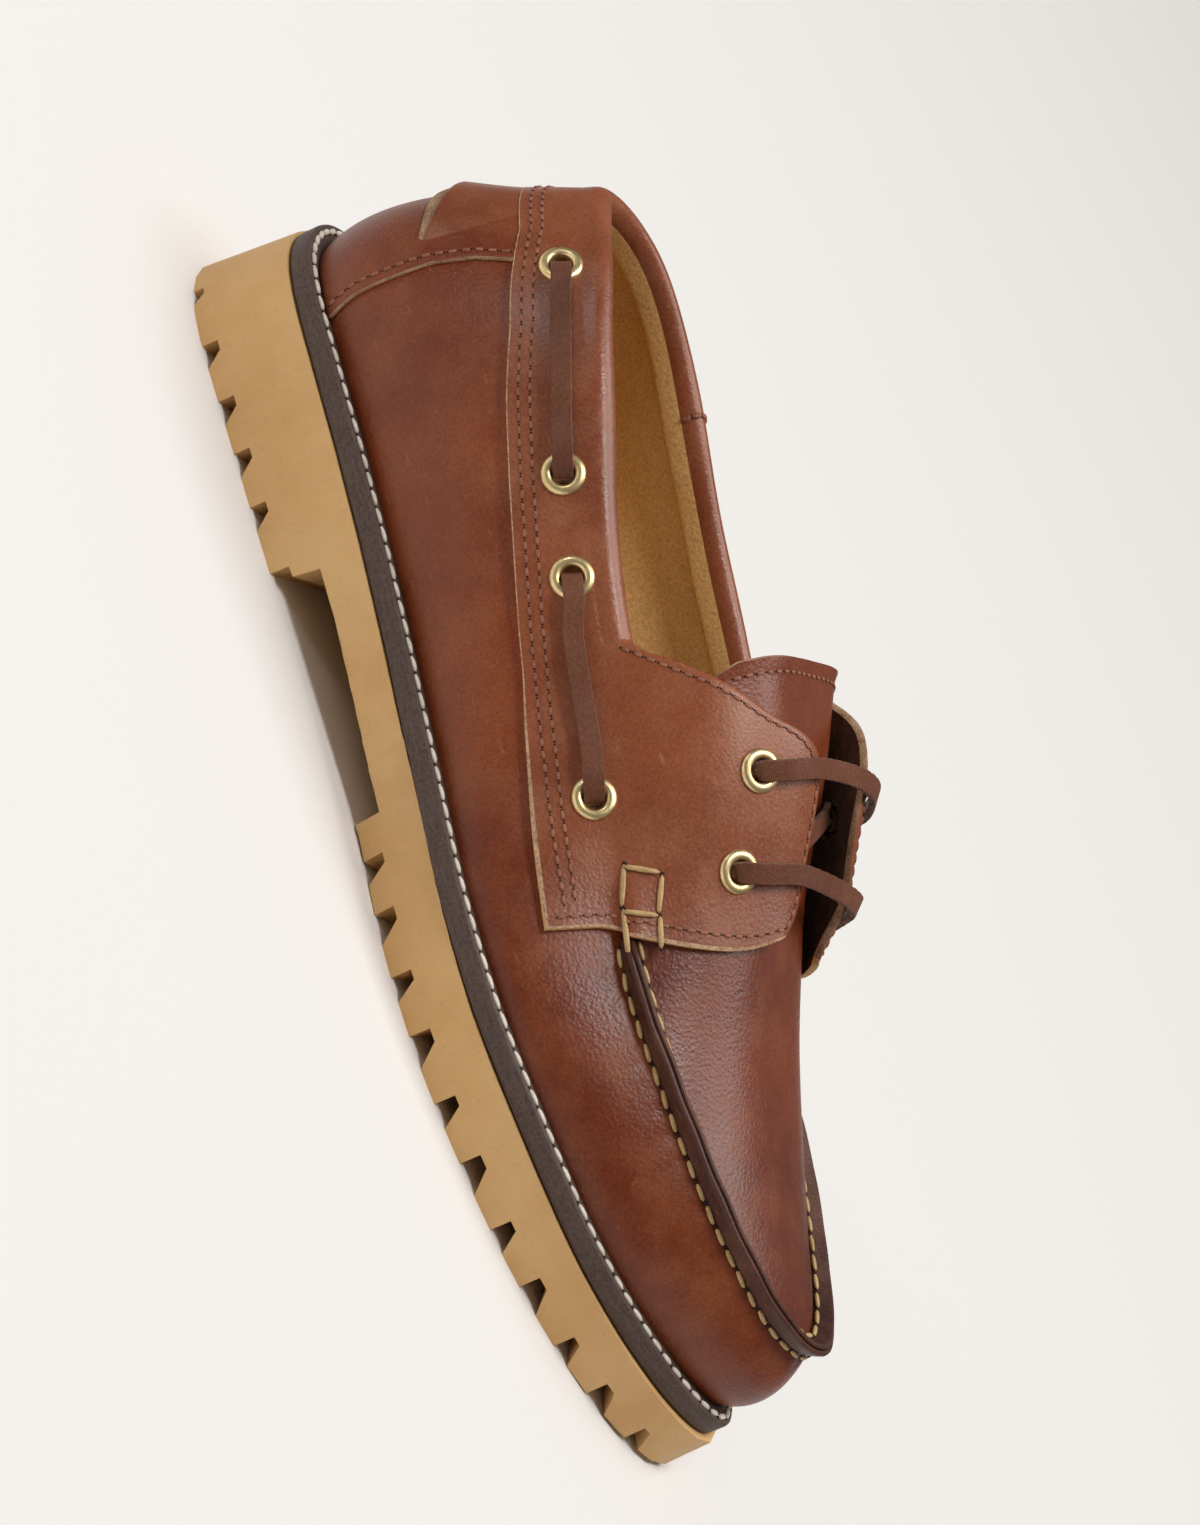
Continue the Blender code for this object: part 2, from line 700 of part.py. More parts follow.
# Outline of each lace flap from the collar's notch to the lower front corner, by the rim's x and the share.
FLAPS = {
    "lateral": (
        # rim x, share
        (131.0, 1.03),
        (143.0, 1.15),
        (150.0, 1.26),
        (159.0, 1.45),
        (165.0, 1.72),
        (171.0, 1.84),
        (181.0, 1.86),
        (192.0, 1.85),
        (200.0, 1.81),
        (206.8, 1.70),
        (209.2, 1.45),
        (207.2, 1.24),
        (203.8, 1.11),
        (198.4, 0.97),
        (193.4, 0.70),
        (189.6, 0.44),
    ),
    "medial": (
        (131.0, 1.06),
        (142.0, 1.20),
        (150.0, 1.36),
        (157.0, 1.50),
        (163.0, 1.58),
        (170.0, 1.66),
        (179.0, 1.67),
        (189.0, 1.62),
        (198.0, 1.58),
        (203.5, 1.52),
        (204.5, 1.34),
        (202.5, 1.18),
        (200.0, 1.10),
        (196.0, 0.97),
        (193.0, 0.70),
        (191.0, 0.44),
    ),
}
FLAP_LIFT = {"lateral": (4.5, 1.35, 1.85), "medial": (9.0, 1.10, 1.66)}   # height at the edge, share from, share to
FLAP_SETTLE = (188.0, 206.0, 0.25)   # rim x from and to, and the share of the inner flap's lift left in front
FLAP_LEADING = 9        # how many of a flap's outline rows lie along its inner edge
FLAP_ROOT = 1.2         # the flap's edge leaves the collar's line within this length
COLLAR_SHARE = 0.995    # where the saddle stops under the collar's roll
SADDLE_COLUMNS = 10     # points up the saddle
FLAP_ROWS = 8           # along each flap
STRAP_ROWS = 26         # from flap to flap round the heel


def share_at_height(station, height):
    shares = np.linspace(0, 1, 121)
    heights = FORM.wall(np.full(len(shares), station), shares)[:, 2]
    return float(np.interp(height, heights, shares))


def side_of(station):
    return "lateral" if station % FORM.length < FORM.toe else "medial"


def flap_lift(side):
    height, start, end = FLAP_LIFT[side]

    def lift(share):
        climb = np.clip((share - start) / (end - start), 0, 1)
        return SEAT + height * climb * climb * (3 - 2 * climb)

    return lift


def flap_settle(station):
    """The inner flap lies down toward its front corner."""
    start, end, left = FLAP_SETTLE
    fall = float(np.clip((FORM.edge(station)[0, 0] - start) / (end - start), 0, 1))
    return 1 - (1 - left) * fall * fall * (3 - 2 * fall)


def saddle_point(station, share, above=0.0):
    """A point of the saddle's inner face, moved out by above."""
    side = side_of(station)
    lift = float(flap_lift(side)(share))
    if side == "medial":
        lift = SEAT + (lift - SEAT) * flap_settle(station)
    return FORM.surface(station, share)[0] + FORM.normals(station, share)[0] * (lift + above)


def flap_outline(side):
    """The flap's inner edge and its front edge, as functions of a share along each, in station and share."""
    rows = np.array(FLAPS[side])
    stations = FORM.station_at(rows[:, 0], side)
    if side == "medial":
        stations = stations - FORM.length
    rows = np.column_stack((stations, rows[:, 1]))
    inner = rows[: FLAP_LEADING + 1]
    front = rows[FLAP_LEADING:][::-1]

    def along(points):
        lengths = np.linalg.norm(np.diff(points * (1, 60), axis=0), axis=1)
        knots = np.concatenate(([0], np.cumsum(lengths))) / lengths.sum()
        return lambda share: np.array([np.interp(share, knots, points[:, column]) for column in (0, 1)])

    return along(inner), along(front)


def saddle_low(station, side):
    x = float(FORM.edge(station)[0, 0])
    height = float(np.interp(x, *np.array(SADDLE_LOW).T))
    return share_at_height(station, height)


def flap_grid(side, rows, columns):
    """Stations and shares over a flap, from the collar's notch to its front edge, each row climbing."""
    inner, front = flap_outline(side)
    start, end = inner(0)[0], front(0)[0]
    base_start = saddle_low(start, side)

    def base(row):
        station = start + (end - start) * row
        return np.array([station, saddle_low(station, side)])

    def rear(column):
        return np.array([start, base_start + (inner(0)[1] - base_start) * column])

    grid = []
    for row in np.linspace(0, 1, rows + 1):
        line = []
        for column in columns:
            edges = (1 - column) * base(row) + column * inner(row) + (1 - row) * rear(column) + row * front(column)
            corners = (1 - row) * ((1 - column) * base(0) + column * inner(0))
            corners = corners + row * ((1 - column) * base(1) + column * inner(1))
            line.append(edges - corners)
        grid.append(line)
    return grid


def make_saddle():
    """One strap: inner flap, round the heel under the collar, outer flap."""
    columns = np.linspace(0, 1, SADDLE_COLUMNS)
    outer = flap_grid("lateral", FLAP_ROWS, columns)
    inner = flap_grid("medial", FLAP_ROWS, columns)[::-1]
    ends = inner[-1][0][0], outer[0][0][0]
    band = []
    for station in np.linspace(ends[0] + FLAP_ROOT, ends[1] - FLAP_ROOT, STRAP_ROWS):
        low = saddle_low(station, side_of(station))
        band.append([np.array([station, low + (COLLAR_SHARE - low) * column]) for column in columns])
    grid = []
    for line in inner + band + outer:
        grid.append([saddle_point(station, share) for station, share in line])
    return overlay("saddle", grid, OVERLAY, "leather")


# Front edge of the heel counter on either side: how far it reaches round the heel, by its share of the height.
COUNTER_REACH = ((0.0, 50.5), (0.2, 48.5), (0.6, 47.3), (0.8, 49.0), (1.0, 53.5))
COUNTER_FOOT = 0.03     # share where it starts above the welt


def make_counter():
    reach = np.array(COUNTER_REACH)
    grid = []
    for turn in np.linspace(-1, 1, 17):
        line = []
        for column in np.linspace(0, 1, 8):
            station = turn * float(np.interp(column, *reach.T))
            top = saddle_low(station, side_of(station)) - 0.02
            share = COUNTER_FOOT + (top - COUNTER_FOOT) * column
            line.append(FORM.surface(station, share)[0] + FORM.normals(station, share)[0] * SEAT)
        grid.append(line)
    return overlay("heel_counter", grid, OVERLAY, "leather")


LOOP_REACH = 37.0               # stations on either side of the heel's middle
LOOP_LOW = (65.5, 57.5)         # lower edge in the middle and at its ends
LOOP_HIGH = (73.0, 65.0)
LOOP_THICKNESS = 1.6
LOOP_BOW = 1.6                  # how far its lower edge stands away in the middle


def make_heel_loop():
    """A band of leather over the counter, bent down at its ends, standing clear of it in the middle."""
    grid = []
    for turn in np.linspace(-1, 1, 13):
        station = turn * LOOP_REACH
        low = share_at_height(station, LOOP_LOW[0] + (LOOP_LOW[1] - LOOP_LOW[0]) * turn**2)
        high = share_at_height(station, LOOP_HIGH[0] + (LOOP_HIGH[1] - LOOP_HIGH[0]) * turn**2)
        line = []
        for column in (0.0, 0.5, 1.0):
            share = low + (high - low) * column
            lift = SEAT + OVERLAY + 2 * GAP + LOOP_BOW * (1 - turn**2) * (1 - column)
            line.append(FORM.surface(station, share)[0] + FORM.normals(station, share)[0] * lift)
        grid.append(line)
    return overlay("heel_loop", grid, LOOP_THICKNESS, "leather")


# --------------------------------------------------------------------------------- collar, tongue and moc seam
# Section of the collar's roll, outward and up from the top line: it sits on the wall and hooks over its inside.
ROLL_SECTION = (
    (2.0, 1.5),
    (2.2, 3.0),
    (1.1, 4.8),
    (-1.2, 5.8),
    (-4.0, 5.6),
    (-6.0, 4.0),
    (-6.7, 1.6),
    (-6.2, -1.2),
    (-4.6, -3.0),
    (-2.9, -3.2),
    (-2.5, 0.5),
)
ROLL_ENDS_X = (128.5, 126.5)    # where it ends on the inner and the outer side
SEAM_HEIGHT = 5.0               # of the ridge's top above the crease
SEAM_SIDE = 3.4                 # of its upright sides
SEAM_OUT = 0.08                 # share of the rib that its outer foot stands down the wall
SEAM_IN = 1.6                   # how far inside the crease its inner foot stands, in plan
SEAM_TOP = 2.6                  # width of its top
SEAM_STARTS = (204.0, 201.5)    # rim x in front of the saddle, on the outer and the inner side


def make_collar_roll():
    start = float(FORM.station_of_top(ROLL_ENDS_X[0], "medial")) - FORM.length
    end = float(FORM.station_of_top(ROLL_ENDS_X[1], "lateral"))
    rings = []
    for station in np.linspace(start, end, 46):
        top = FORM.surface(station, 1.0)[0]
        outward = np.append(FORM.outward(station)[0], 0)
        rings.append([top + outward * out + (0, 0, up) for out, up in ROLL_SECTION])
    return place("collar_roll", loft("collar_roll", rings), "leather")


def unit(vector):
    return vector / np.linalg.norm(vector)


def crown_over(x, y):
    """The crown above a place in plan."""
    ends = FORM.crown(x, [[0.0]])[0, 1], FORM.crown(x, [[1.0]])[0, 1]
    return FORM.crown(x, (y - ends[0]) / (ends[1] - ends[0]))[0]


def crown_normal(x, across):
    """Upward unit normal of the crown."""
    step = FORM.crown(x + 0.4, across)[0] - FORM.crown(x - 0.4, across)[0]
    over = FORM.crown(x, across + 0.004)[0] - FORM.crown(x, across - 0.004)[0]
    return unit(np.cross(step, over))


def make_moc_seam():
    """The two leathers' edges that stand up where the wall meets the apron."""
    start = float(FORM.station_at(SEAM_STARTS[0], "lateral"))
    end = float(FORM.station_at(SEAM_STARTS[1], "medial"))
    rings = []
    for station in np.linspace(start, end, 36):
        crease = FORM.surface(station, 1.0)[0]
        ahead = unit(FORM.surface(station + 0.5, 1.0)[0] - FORM.surface(station - 0.5, 1.0)[0])
        outer = FORM.surface(station, 1 - SEAM_OUT)[0]
        inner = crown_over(*(crease[:2] - FORM.outward(station)[0] * SEAM_IN))
        across = unit(inner - outer)
        rise = unit(np.cross(ahead, across))
        outer, inner, middle = outer + rise * SEAT, inner + rise * SEAT, crease + rise * SEAT
        top = crease + rise * SEAM_HEIGHT
        rings.append([
            outer,
            outer + rise * SEAM_SIDE,
            top - across * SEAM_TOP / 2,
            top + across * SEAM_TOP / 2,
            inner + rise * SEAM_SIDE,
            inner,
            middle,
        ])
    return place("moc_seam", loft("moc_seam", rings), "seam_leather")


TONGUE = (
    # x, across the crown from, to, stand-off
    (179.6, 0.05, 0.95, 0.0),
    (168.0, 0.05, 0.95, 0.0),
    (154.0, 0.06, 0.93, 0.4),
    (145.4, 0.08, 0.89, 1.2),
    (142.8, 0.12, 0.85, 2.2),
)


def make_tongue():
    columns = np.linspace(0, 1, 11)
    grid = []
    for x, start, end, lift in TONGUE:
        line = []
        for column in columns:
            across = start + (end - start) * column
            line.append(FORM.crown(x, across)[0] + crown_normal(x, across) * (lift - WALL))
        grid.append(line)
    turned = [[row[column] for row in grid] for column in range(len(columns))]
    return overlay("tongue", turned[::-1], WALL, "leather")


# --------------------------------------------------------------------------------------------- eyelets and lace
EYELETS = {
    # rim x and share of each, on either side
    "lateral": {
        "heel": (35.3, 0.903),
        "waist_back": (87.7, 0.873),
        "waist_front": (111.8, 0.876),
        "instep": (165.7, 0.768),
        "flap_high": (171.1, 1.389),
        "flap_low": (191.6, 1.373),
    },
    "medial": {
        "heel": (35.0, 0.905),
        "waist_back": (86.0, 0.868),
        "waist_front": (111.5, 0.875),
        "instep": (165.0, 0.780),
        "flap_high": (171.5, 1.330),
        "flap_low": (192.0, 1.240),
    },
}
EYELET_RING = ((2.8, 0.0), (3.1, 1.2), (4.1, 1.5), (5.1, 0.8), (5.35, 0.0))   # radius and height
EYELET_SIDES = 14
EYELET_SEAT = 0.45              # its flat back above the curved leather
LACE_WIDTH = 4.9
LACE_THICKNESS = 1.9
LACE_SEAT = 2.6                 # lace above the saddle's outer face, clear of the eyelets
LACE_STEPS = 14
BAR_SEATS = (LACE_SEAT, 2.2, 1.2)               # a front bar above the flap, from the eyelet to the flap's edge
BAR_REACH = {"lateral": 1.84, "medial": 1.60}   # share of the flap that a front bar follows before it crosses
BAR_BACK = {"flap_high": 2.4, "flap_low": 0.0}  # how far it has run back there
BAR_FORWARD = (0.85, 0.0, -0.5)                 # along the instep, square to the bars


def eyelet_place(side, key):
    x, share = EYELETS[side][key]
    station = float(FORM.station_at(x, side))
    if side == "medial":
        station -= FORM.length
    return station, share


def on_saddle(station, share, above=0.0):
    """A point above the saddle's outer face, and the direction away from it."""
    point = saddle_point(station, share, OVERLAY + above)
    along = saddle_point(station + 1.0, share, OVERLAY) - saddle_point(station - 1.0, share, OVERLAY)
    climb = saddle_point(station, share + 0.02, OVERLAY) - saddle_point(station, share - 0.02, OVERLAY)
    normal = np.cross(along, climb)
    return point, unit(normal)


def eyelet_mesh():
    points = [(radius, 0, height) for radius, height in EYELET_RING]
    count = len(points)
    mesh = bpy.data.meshes.new("eyelet")
    edges = [(here, (here + 1) % count) for here in range(count)]
    mesh.from_pydata([Vector(point) * MM for point in points], edges, [])
    mesh.materials.append(MATERIALS["brass"])
    return mesh


def make_eyelets():
    mesh = eyelet_mesh()
    for side, places in EYELETS.items():
        for key in places:
            point, normal = on_saddle(*eyelet_place(side, key), EYELET_SEAT)
            made = place(f"eyelet_{side}_{key}", mesh)
            made.location = Vector(point) * MM
            made.rotation_mode = "QUATERNION"
            made.rotation_quaternion = Vector(normal).to_track_quat("Z", "Y")
            turn = made.modifiers.new("turn", "SCREW")
            turn.steps = EYELET_SIDES
            turn.render_steps = EYELET_SIDES
            turn.use_merge_vertices = True
            turn.merge_threshold = 0.00001


def strap(name, points, normals, width, thickness, material):
    """A flat lace along the points: its inner face lies on them, and normals point away from the shoe."""
    rings = []
    for number, point in enumerate(points):
        before, after = points[max(number - 1, 0)], points[min(number + 1, len(points) - 1)]
        ahead = unit(after - before)
        normal = unit(normals[number] - ahead * (normals[number] @ ahead))
        side = np.cross(ahead, normal) * width / 2
        rings.append([point - side, point + side, point + side + normal * thickness, point - side + normal * thickness])
    return place(name, loft(name, rings), material)


def make_side_laces():
    for side in ("lateral", "medial"):
        for start, end in (("heel", "waist_back"), ("waist_front", "instep")):
            first, last = np.array(eyelet_place(side, start)), np.array(eyelet_place(side, end))
            points, normals = [], []
            for share in np.linspace(0, 1, 9):
                station, height = first + (last - first) * share
                point, normal = on_saddle(station, height, LACE_SEAT)
                points.append(point)
                normals.append(normal)
            strap(f"side_lace_{side}_{start}", points, normals, LACE_WIDTH, LACE_THICKNESS, "lace_leather")


def make_front_laces():
    """Two bars across the tongue, from eyelet to eyelet over both flaps."""
    for key in ("flap_high", "flap_low"):
        climbs = []
        for side, reach in BAR_REACH.items():
            station, share = eyelet_place(side, key)
            heights = np.linspace(share, reach, 3)
            back = np.linspace(0, BAR_BACK[key], 3) * (-1 if side == "lateral" else 1)
            steps = zip(station + back, heights, BAR_SEATS, strict=True)
            climbs.append([on_saddle(*place_up)[0] for place_up in steps])
        route = np.array(climbs[0] + climbs[1][::-1])
        lengths = np.concatenate(([0], np.cumsum(np.linalg.norm(np.diff(route, axis=0), axis=1))))
        points = spline(lengths, route)(np.linspace(0, lengths[-1], LACE_STEPS + 1))
        normals = []
        for number in range(LACE_STEPS + 1):
            ahead = points[min(number + 1, LACE_STEPS)] - points[max(number - 1, 0)]
            normals.append(np.cross(BAR_FORWARD, ahead))
        strap(f"front_lace_{key}", list(points), normals, LACE_WIDTH, LACE_THICKNESS, "lace_leather")


CROSSING = ((172.0, 0.76), (187.5, 0.35))   # x and share across the crown at its two ends


def make_lace_crossing():
    """The lace under the flaps, on the tongue, from the upper inner eyelet to the lower outer one."""
    start, end = np.array(CROSSING[0]), np.array(CROSSING[1])
    points, normals = [], []
    for share in np.linspace(0, 1, 9):
        x, across = start + (end - start) * share
        normal = crown_normal(x, across)
        points.append(FORM.crown(x, across)[0] + normal * 2 * GAP)
        normals.append(normal)
    strap("lace_crossing", points, normals, LACE_WIDTH, LACE_THICKNESS, "lace_leather")


make_outsole()
make_welt()
make_insole()
make_upper()
make_saddle()
make_counter()
make_heel_loop()
make_collar_roll()
make_moc_seam()
make_tongue()
make_eyelets()
make_side_laces()
make_front_laces()
make_lace_crossing()
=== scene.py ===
# %% [markdown]
# # A lace-up boat moccasin, dressed over its CAD solids
#
# The real shoe is sewn from chestnut pull-up leather: a wall round the foot, an apron over the toes joined to
# it by a standing seam, a saddle whose lace flaps meet over the tongue, and a collar rolled over at the top.
# It stands on a dark storm welt and a thick honey-coloured gum sole with lugs. This script loads the rigid
# solids as a fixed frame, then lays finer leather, thread, brass and rubber over them, piece by piece, in the
# same place.

import math
import random

import bmesh
import bpy
import numpy as np
from mathutils import Matrix, Vector

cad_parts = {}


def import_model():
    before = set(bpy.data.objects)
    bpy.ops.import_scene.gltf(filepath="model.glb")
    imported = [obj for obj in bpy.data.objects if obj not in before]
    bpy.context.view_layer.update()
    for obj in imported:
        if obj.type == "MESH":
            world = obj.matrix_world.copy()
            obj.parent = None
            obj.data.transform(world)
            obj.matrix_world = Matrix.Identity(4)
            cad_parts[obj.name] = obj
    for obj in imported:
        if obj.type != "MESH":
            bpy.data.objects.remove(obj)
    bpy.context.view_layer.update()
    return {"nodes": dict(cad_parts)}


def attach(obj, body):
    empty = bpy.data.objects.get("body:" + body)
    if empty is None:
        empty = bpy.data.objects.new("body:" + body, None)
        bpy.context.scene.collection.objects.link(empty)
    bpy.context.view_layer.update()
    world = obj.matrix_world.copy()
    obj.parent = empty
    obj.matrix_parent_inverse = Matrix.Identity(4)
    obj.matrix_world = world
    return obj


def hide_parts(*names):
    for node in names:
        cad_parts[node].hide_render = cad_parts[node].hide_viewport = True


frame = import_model()
cad_nodes = sorted(frame["nodes"])
print("solids in the frame:", len(cad_nodes))

# %% [markdown]
# ## The shoe's own sizes
#
# A shoemaker works from a last: one smooth form that every leather is cut and stretched over. Here the last
# is a table of ribs, each a curve from the welt up to the top line, and a crown that spans the ribs over the
# instep and toes. Lengths are millimetres, x from the heel to the toe, y to the inner side of the foot and z
# up. Because every piece asks the same form where its points go, the pieces fit each other with no trial and
# error.

# %% The ribs of the form
RIBS = (
    # rim x, rim y, ledge, belly, rise, shoulder, drop, top x, top y, top z
    (-3.4, 3.0, 8.2, 9.0, 16.7, 8.4, 16.9, 16.4, 4.0, 92.2),
    (9.2, -26.8, 5.8, 7.6, 16.7, 8.5, 17.2, 22.6, -7.0, 92.4),
    (32.0, -34.6, 5.0, 7.0, 15.1, 10.5, 15.9, 36.0, -17.5, 91.6),
    (58.0, -38.3, 5.0, 7.0, 13.6, 8.0, 14.1, 58.5, -27.2, 87.4),
    (86.0, -42.0, 5.0, 6.3, 12.1, 6.0, 13.2, 86.0, -32.0, 79.2),
    (111.0, -45.4, 5.0, 6.4, 11.7, 5.5, 12.2, 111.0, -34.7, 72.2),
    (130.0, -49.0, 5.0, 4.8, 11.2, 5.0, 11.7, 128.0, -35.0, 68.6),
    (150.0, -53.6, 5.0, 2.7, 10.7, 4.5, 11.2, 147.0, -35.6, 66.5),
    (170.0, -58.2, 5.0, 1.2, 10.2, 4.8, 11.2, 166.0, -36.6, 62.0),
    (190.0, -59.7, 5.0, 1.2, 9.2, 5.8, 9.2, 185.5, -38.0, 53.0),
    (212.3, -58.4, 5.0, 0.8, 9.2, 6.2, 7.2, 207.0, -38.4, 48.4),
    (232.6, -54.4, 5.0, 0.2, 9.3, 6.2, 7.2, 226.5, -37.0, 47.3),
    (251.2, -48.9, 5.0, 0.0, 9.1, 6.2, 7.5, 243.0, -34.2, 46.4),
    (269.8, -39.0, 5.0, 0.2, 8.7, 6.2, 7.6, 260.0, -29.5, 45.5),
    (286.0, -25.8, 5.0, 2.0, 8.0, 6.4, 8.0, 275.5, -21.5, 44.7),
    (297.6, -10.8, 5.0, 4.0, 7.3, 7.8, 7.6, 287.0, -10.5, 44.1),
    (301.2, 4.0, 5.0, 5.4, 7.0, 8.0, 7.7, 291.3, 4.0, 43.9),
    (293.0, 15.2, 5.0, 5.2, 7.4, 7.0, 7.6, 285.5, 14.4, 44.2),
    (277.0, 28.0, 5.4, 4.4, 8.1, 5.4, 7.7, 271.5, 24.3, 44.9),
    (256.0, 40.3, 5.4, 3.8, 8.8, 4.2, 7.7, 254.0, 33.8, 45.8),
    (232.0, 47.2, 5.6, 3.2, 9.3, 3.6, 7.7, 232.0, 40.4, 47.0),
    (206.0, 49.4, 5.8, 3.2, 9.7, 3.8, 8.2, 207.0, 42.2, 48.6),
    (180.0, 48.7, 5.6, 4.4, 10.2, 4.2, 9.7, 181.0, 41.2, 55.5),
    (155.0, 45.2, 5.0, 6.0, 11.2, 3.8, 11.5, 155.0, 41.4, 67.4),
    (130.0, 39.6, 4.0, 7.4, 12.1, 4.0, 13.0, 129.0, 42.0, 73.6),
    (106.0, 38.4, 3.6, 7.2, 12.6, 4.2, 14.0, 106.0, 41.0, 77.4),
    (82.0, 42.0, 4.2, 5.0, 13.1, 5.2, 14.7, 82.0, 37.4, 82.8),
    (58.0, 45.4, 5.6, 4.6, 14.1, 6.8, 15.2, 58.0, 34.6, 88.0),
    (36.0, 42.0, 6.2, 6.4, 15.7, 8.0, 16.2, 38.0, 29.0, 91.8),
    (13.8, 31.0, 6.6, 8.0, 16.7, 8.4, 16.8, 23.8, 19.5, 92.8),
)
CROWN = (
    # x, height along the middle, fullness of the shoulders
    (122.0, 106.0, 4.2),
    (140.0, 102.6, 4.2),
    (150.0, 99.6, 4.1),
    (165.0, 93.4, 4.0),
    (178.0, 86.0, 3.8),
    (190.0, 79.0, 3.5),
    (205.0, 72.4, 3.1),
    (222.0, 65.4, 2.7),
    (236.0, 60.4, 2.5),
    (252.0, 55.6, 2.3),
    (268.0, 51.4, 2.2),
    (281.0, 48.0, 2.1),
    (291.3, 43.9, 2.0),
)
WELT_LINE = (
    # x, height where the welt lies on the rubber
    (-12.0, 25.4), (10.0, 25.2), (35.0, 24.7), (60.0, 24.0), (82.0, 22.9), (104.0, 21.3), (126.0, 19.7),
    (150.0, 18.4), (175.0, 17.2), (200.0, 16.0), (225.0, 15.6), (245.0, 15.1), (262.0, 14.4), (278.0, 14.0),
    (292.0, 13.9), (312.0, 13.9),
)
MIDDLE = (148.5868, -3.2941)     # middle of the footprint, which is the frame's origin
WELT = 5.6                       # thickness of the welt
GAP = 0.3                        # between pieces that touch

# %% The form itself
def spline(knots, values, period=None):
    """A cubic through the values at the knots, closed if a period is given."""
    knots = np.asarray(knots, float)
    values = np.asarray(values, float).reshape(len(knots), -1)
    if period:
        knots = np.append(knots, knots[0] + period)
        values = np.vstack((values, values[:1]))
    steps = np.diff(knots)
    slopes = np.diff(values, axis=0) / steps[:, None]
    last = len(knots) - 1
    system = np.zeros((last + 1, last + 1))
    target = np.zeros_like(values)
    for here in range(1, last):
        system[here, here - 1] = steps[here]
        system[here, here] = 2 * (steps[here - 1] + steps[here])
        system[here, here + 1] = steps[here - 1]
        target[here] = 3 * (steps[here] * slopes[here - 1] + steps[here - 1] * slopes[here])
    if period:
        system[0, [last - 1, 0, 1]] = steps[0], 2 * (steps[-1] + steps[0]), steps[-1]
        target[0] = 3 * (steps[0] * slopes[-1] + steps[-1] * slopes[0])
        system[last, [last, 0]] = 1, -1
    else:
        system[0, :2] = (2, 1)
        target[0] = 3 * slopes[0]
        system[last, -2:] = (1, 2)
        target[last] = 3 * slopes[-1]
    tangents = np.linalg.solve(system, target)

    def read(where):
        where = np.atleast_1d(np.asarray(where, float))
        if period:
            where = (where - knots[0]) % period + knots[0]
        span = np.clip(np.searchsorted(knots, where, side="right") - 1, 0, last - 1)
        width = steps[span][:, None]
        part = (where[:, None] - knots[span][:, None]) / width
        return (
            values[span] * (1 + 2 * part) * (1 - part) ** 2
            + tangents[span] * width * part * (1 - part) ** 2
            + values[span + 1] * part**2 * (3 - 2 * part)
            + tangents[span + 1] * width * part**2 * (part - 1)
        )

    return read


ribs = np.array(RIBS)
rim_steps = np.linalg.norm(np.roll(ribs[:, :2], -1, axis=0) - ribs[:, :2], axis=1)
rib_stations = np.concatenate(([0.0], np.cumsum(rim_steps)[:-1]))
ROUND = rim_steps.sum()                              # length of the rim
TOE = rib_stations[np.argmax(ribs[:, 0])]            # station of the toe
read_rib = spline(rib_stations, ribs, ROUND)
read_crown = spline([row[0] for row in CROWN], [row[1:] for row in CROWN])
SIDES = {"lateral": np.linspace(0, TOE, 900), "medial": np.linspace(TOE, ROUND, 900)[::-1]}
SIDE_RIBS = {side: read_rib(stations) for side, stations in SIDES.items()}
print("rim", round(ROUND), "mm, toe at station", round(TOE))


def station_at(x, side, column=0):
    """Station whose rim (column 0) or top (column 7) is at x on a side; inner ones are negative."""
    found = np.interp(x, SIDE_RIBS[side][:, column], SIDES[side])
    return found - ROUND if side == "medial" else found


def look_up(table, x, column=1):
    """A column of a table, read straight between its rows, whose first column holds x."""
    return np.interp(x, *np.array(table)[:, [0, column]].T)


def welt_top(x):
    return look_up(WELT_LINE, x) + GAP + WELT


def unit(vectors):
    """One vector, or each row of them, at length one."""
    return vectors / np.maximum(np.linalg.norm(vectors, axis=-1, keepdims=True), 1e-9)


def outward(station):
    along = read_rib(station + 0.5)[:, :2] - read_rib(station - 0.5)[:, :2]
    return unit(np.column_stack((along[:, 1], -along[:, 0], np.zeros(len(along)))))


def wall_point(station, share):
    """A rib's point: share 0 at its foot in the welt, 1 at the top line."""
    row, flat, share = read_rib(station), outward(station), np.reshape(share, (-1, 1))
    up = np.array([0.0, 0.0, 1.0])
    foot = np.column_stack((row[:, :2], np.zeros(len(row)))) - row[:, 2:3] * flat
    foot[:, 2] = welt_top(foot[:, 0]) + GAP
    top = row[:, 7:10]
    low = foot + row[:, 3:4] * flat + row[:, 4:5] * up
    high = top + row[:, 5:6] * flat - row[:, 6:7] * up
    rest = 1 - share
    return foot * rest**3 + 3 * low * share * rest**2 + 3 * high * share**2 * rest + top * share**3


def crown_point(x, across):
    """The crown at x, from the outer side (across 0) to the inner side (across 1)."""
    outer = read_rib(station_at(x, "lateral", 7))[:, 7:10]
    inner = read_rib(station_at(x, "medial", 7))[:, 7:10]
    height, fullness = read_crown(x).T
    points = outer + (inner - outer) * across[:, None]
    rise = np.maximum(height - (outer[:, 2] + inner[:, 2]) / 2, 0)
    points[:, 2] += rise * (1 - np.abs(2 * across - 1) ** fullness)
    return points


def paired(first, second):
    """Two numbers or rows of numbers as rows of one length."""
    return np.broadcast_arrays(np.atleast_1d(first).astype(float), np.atleast_1d(second).astype(float))


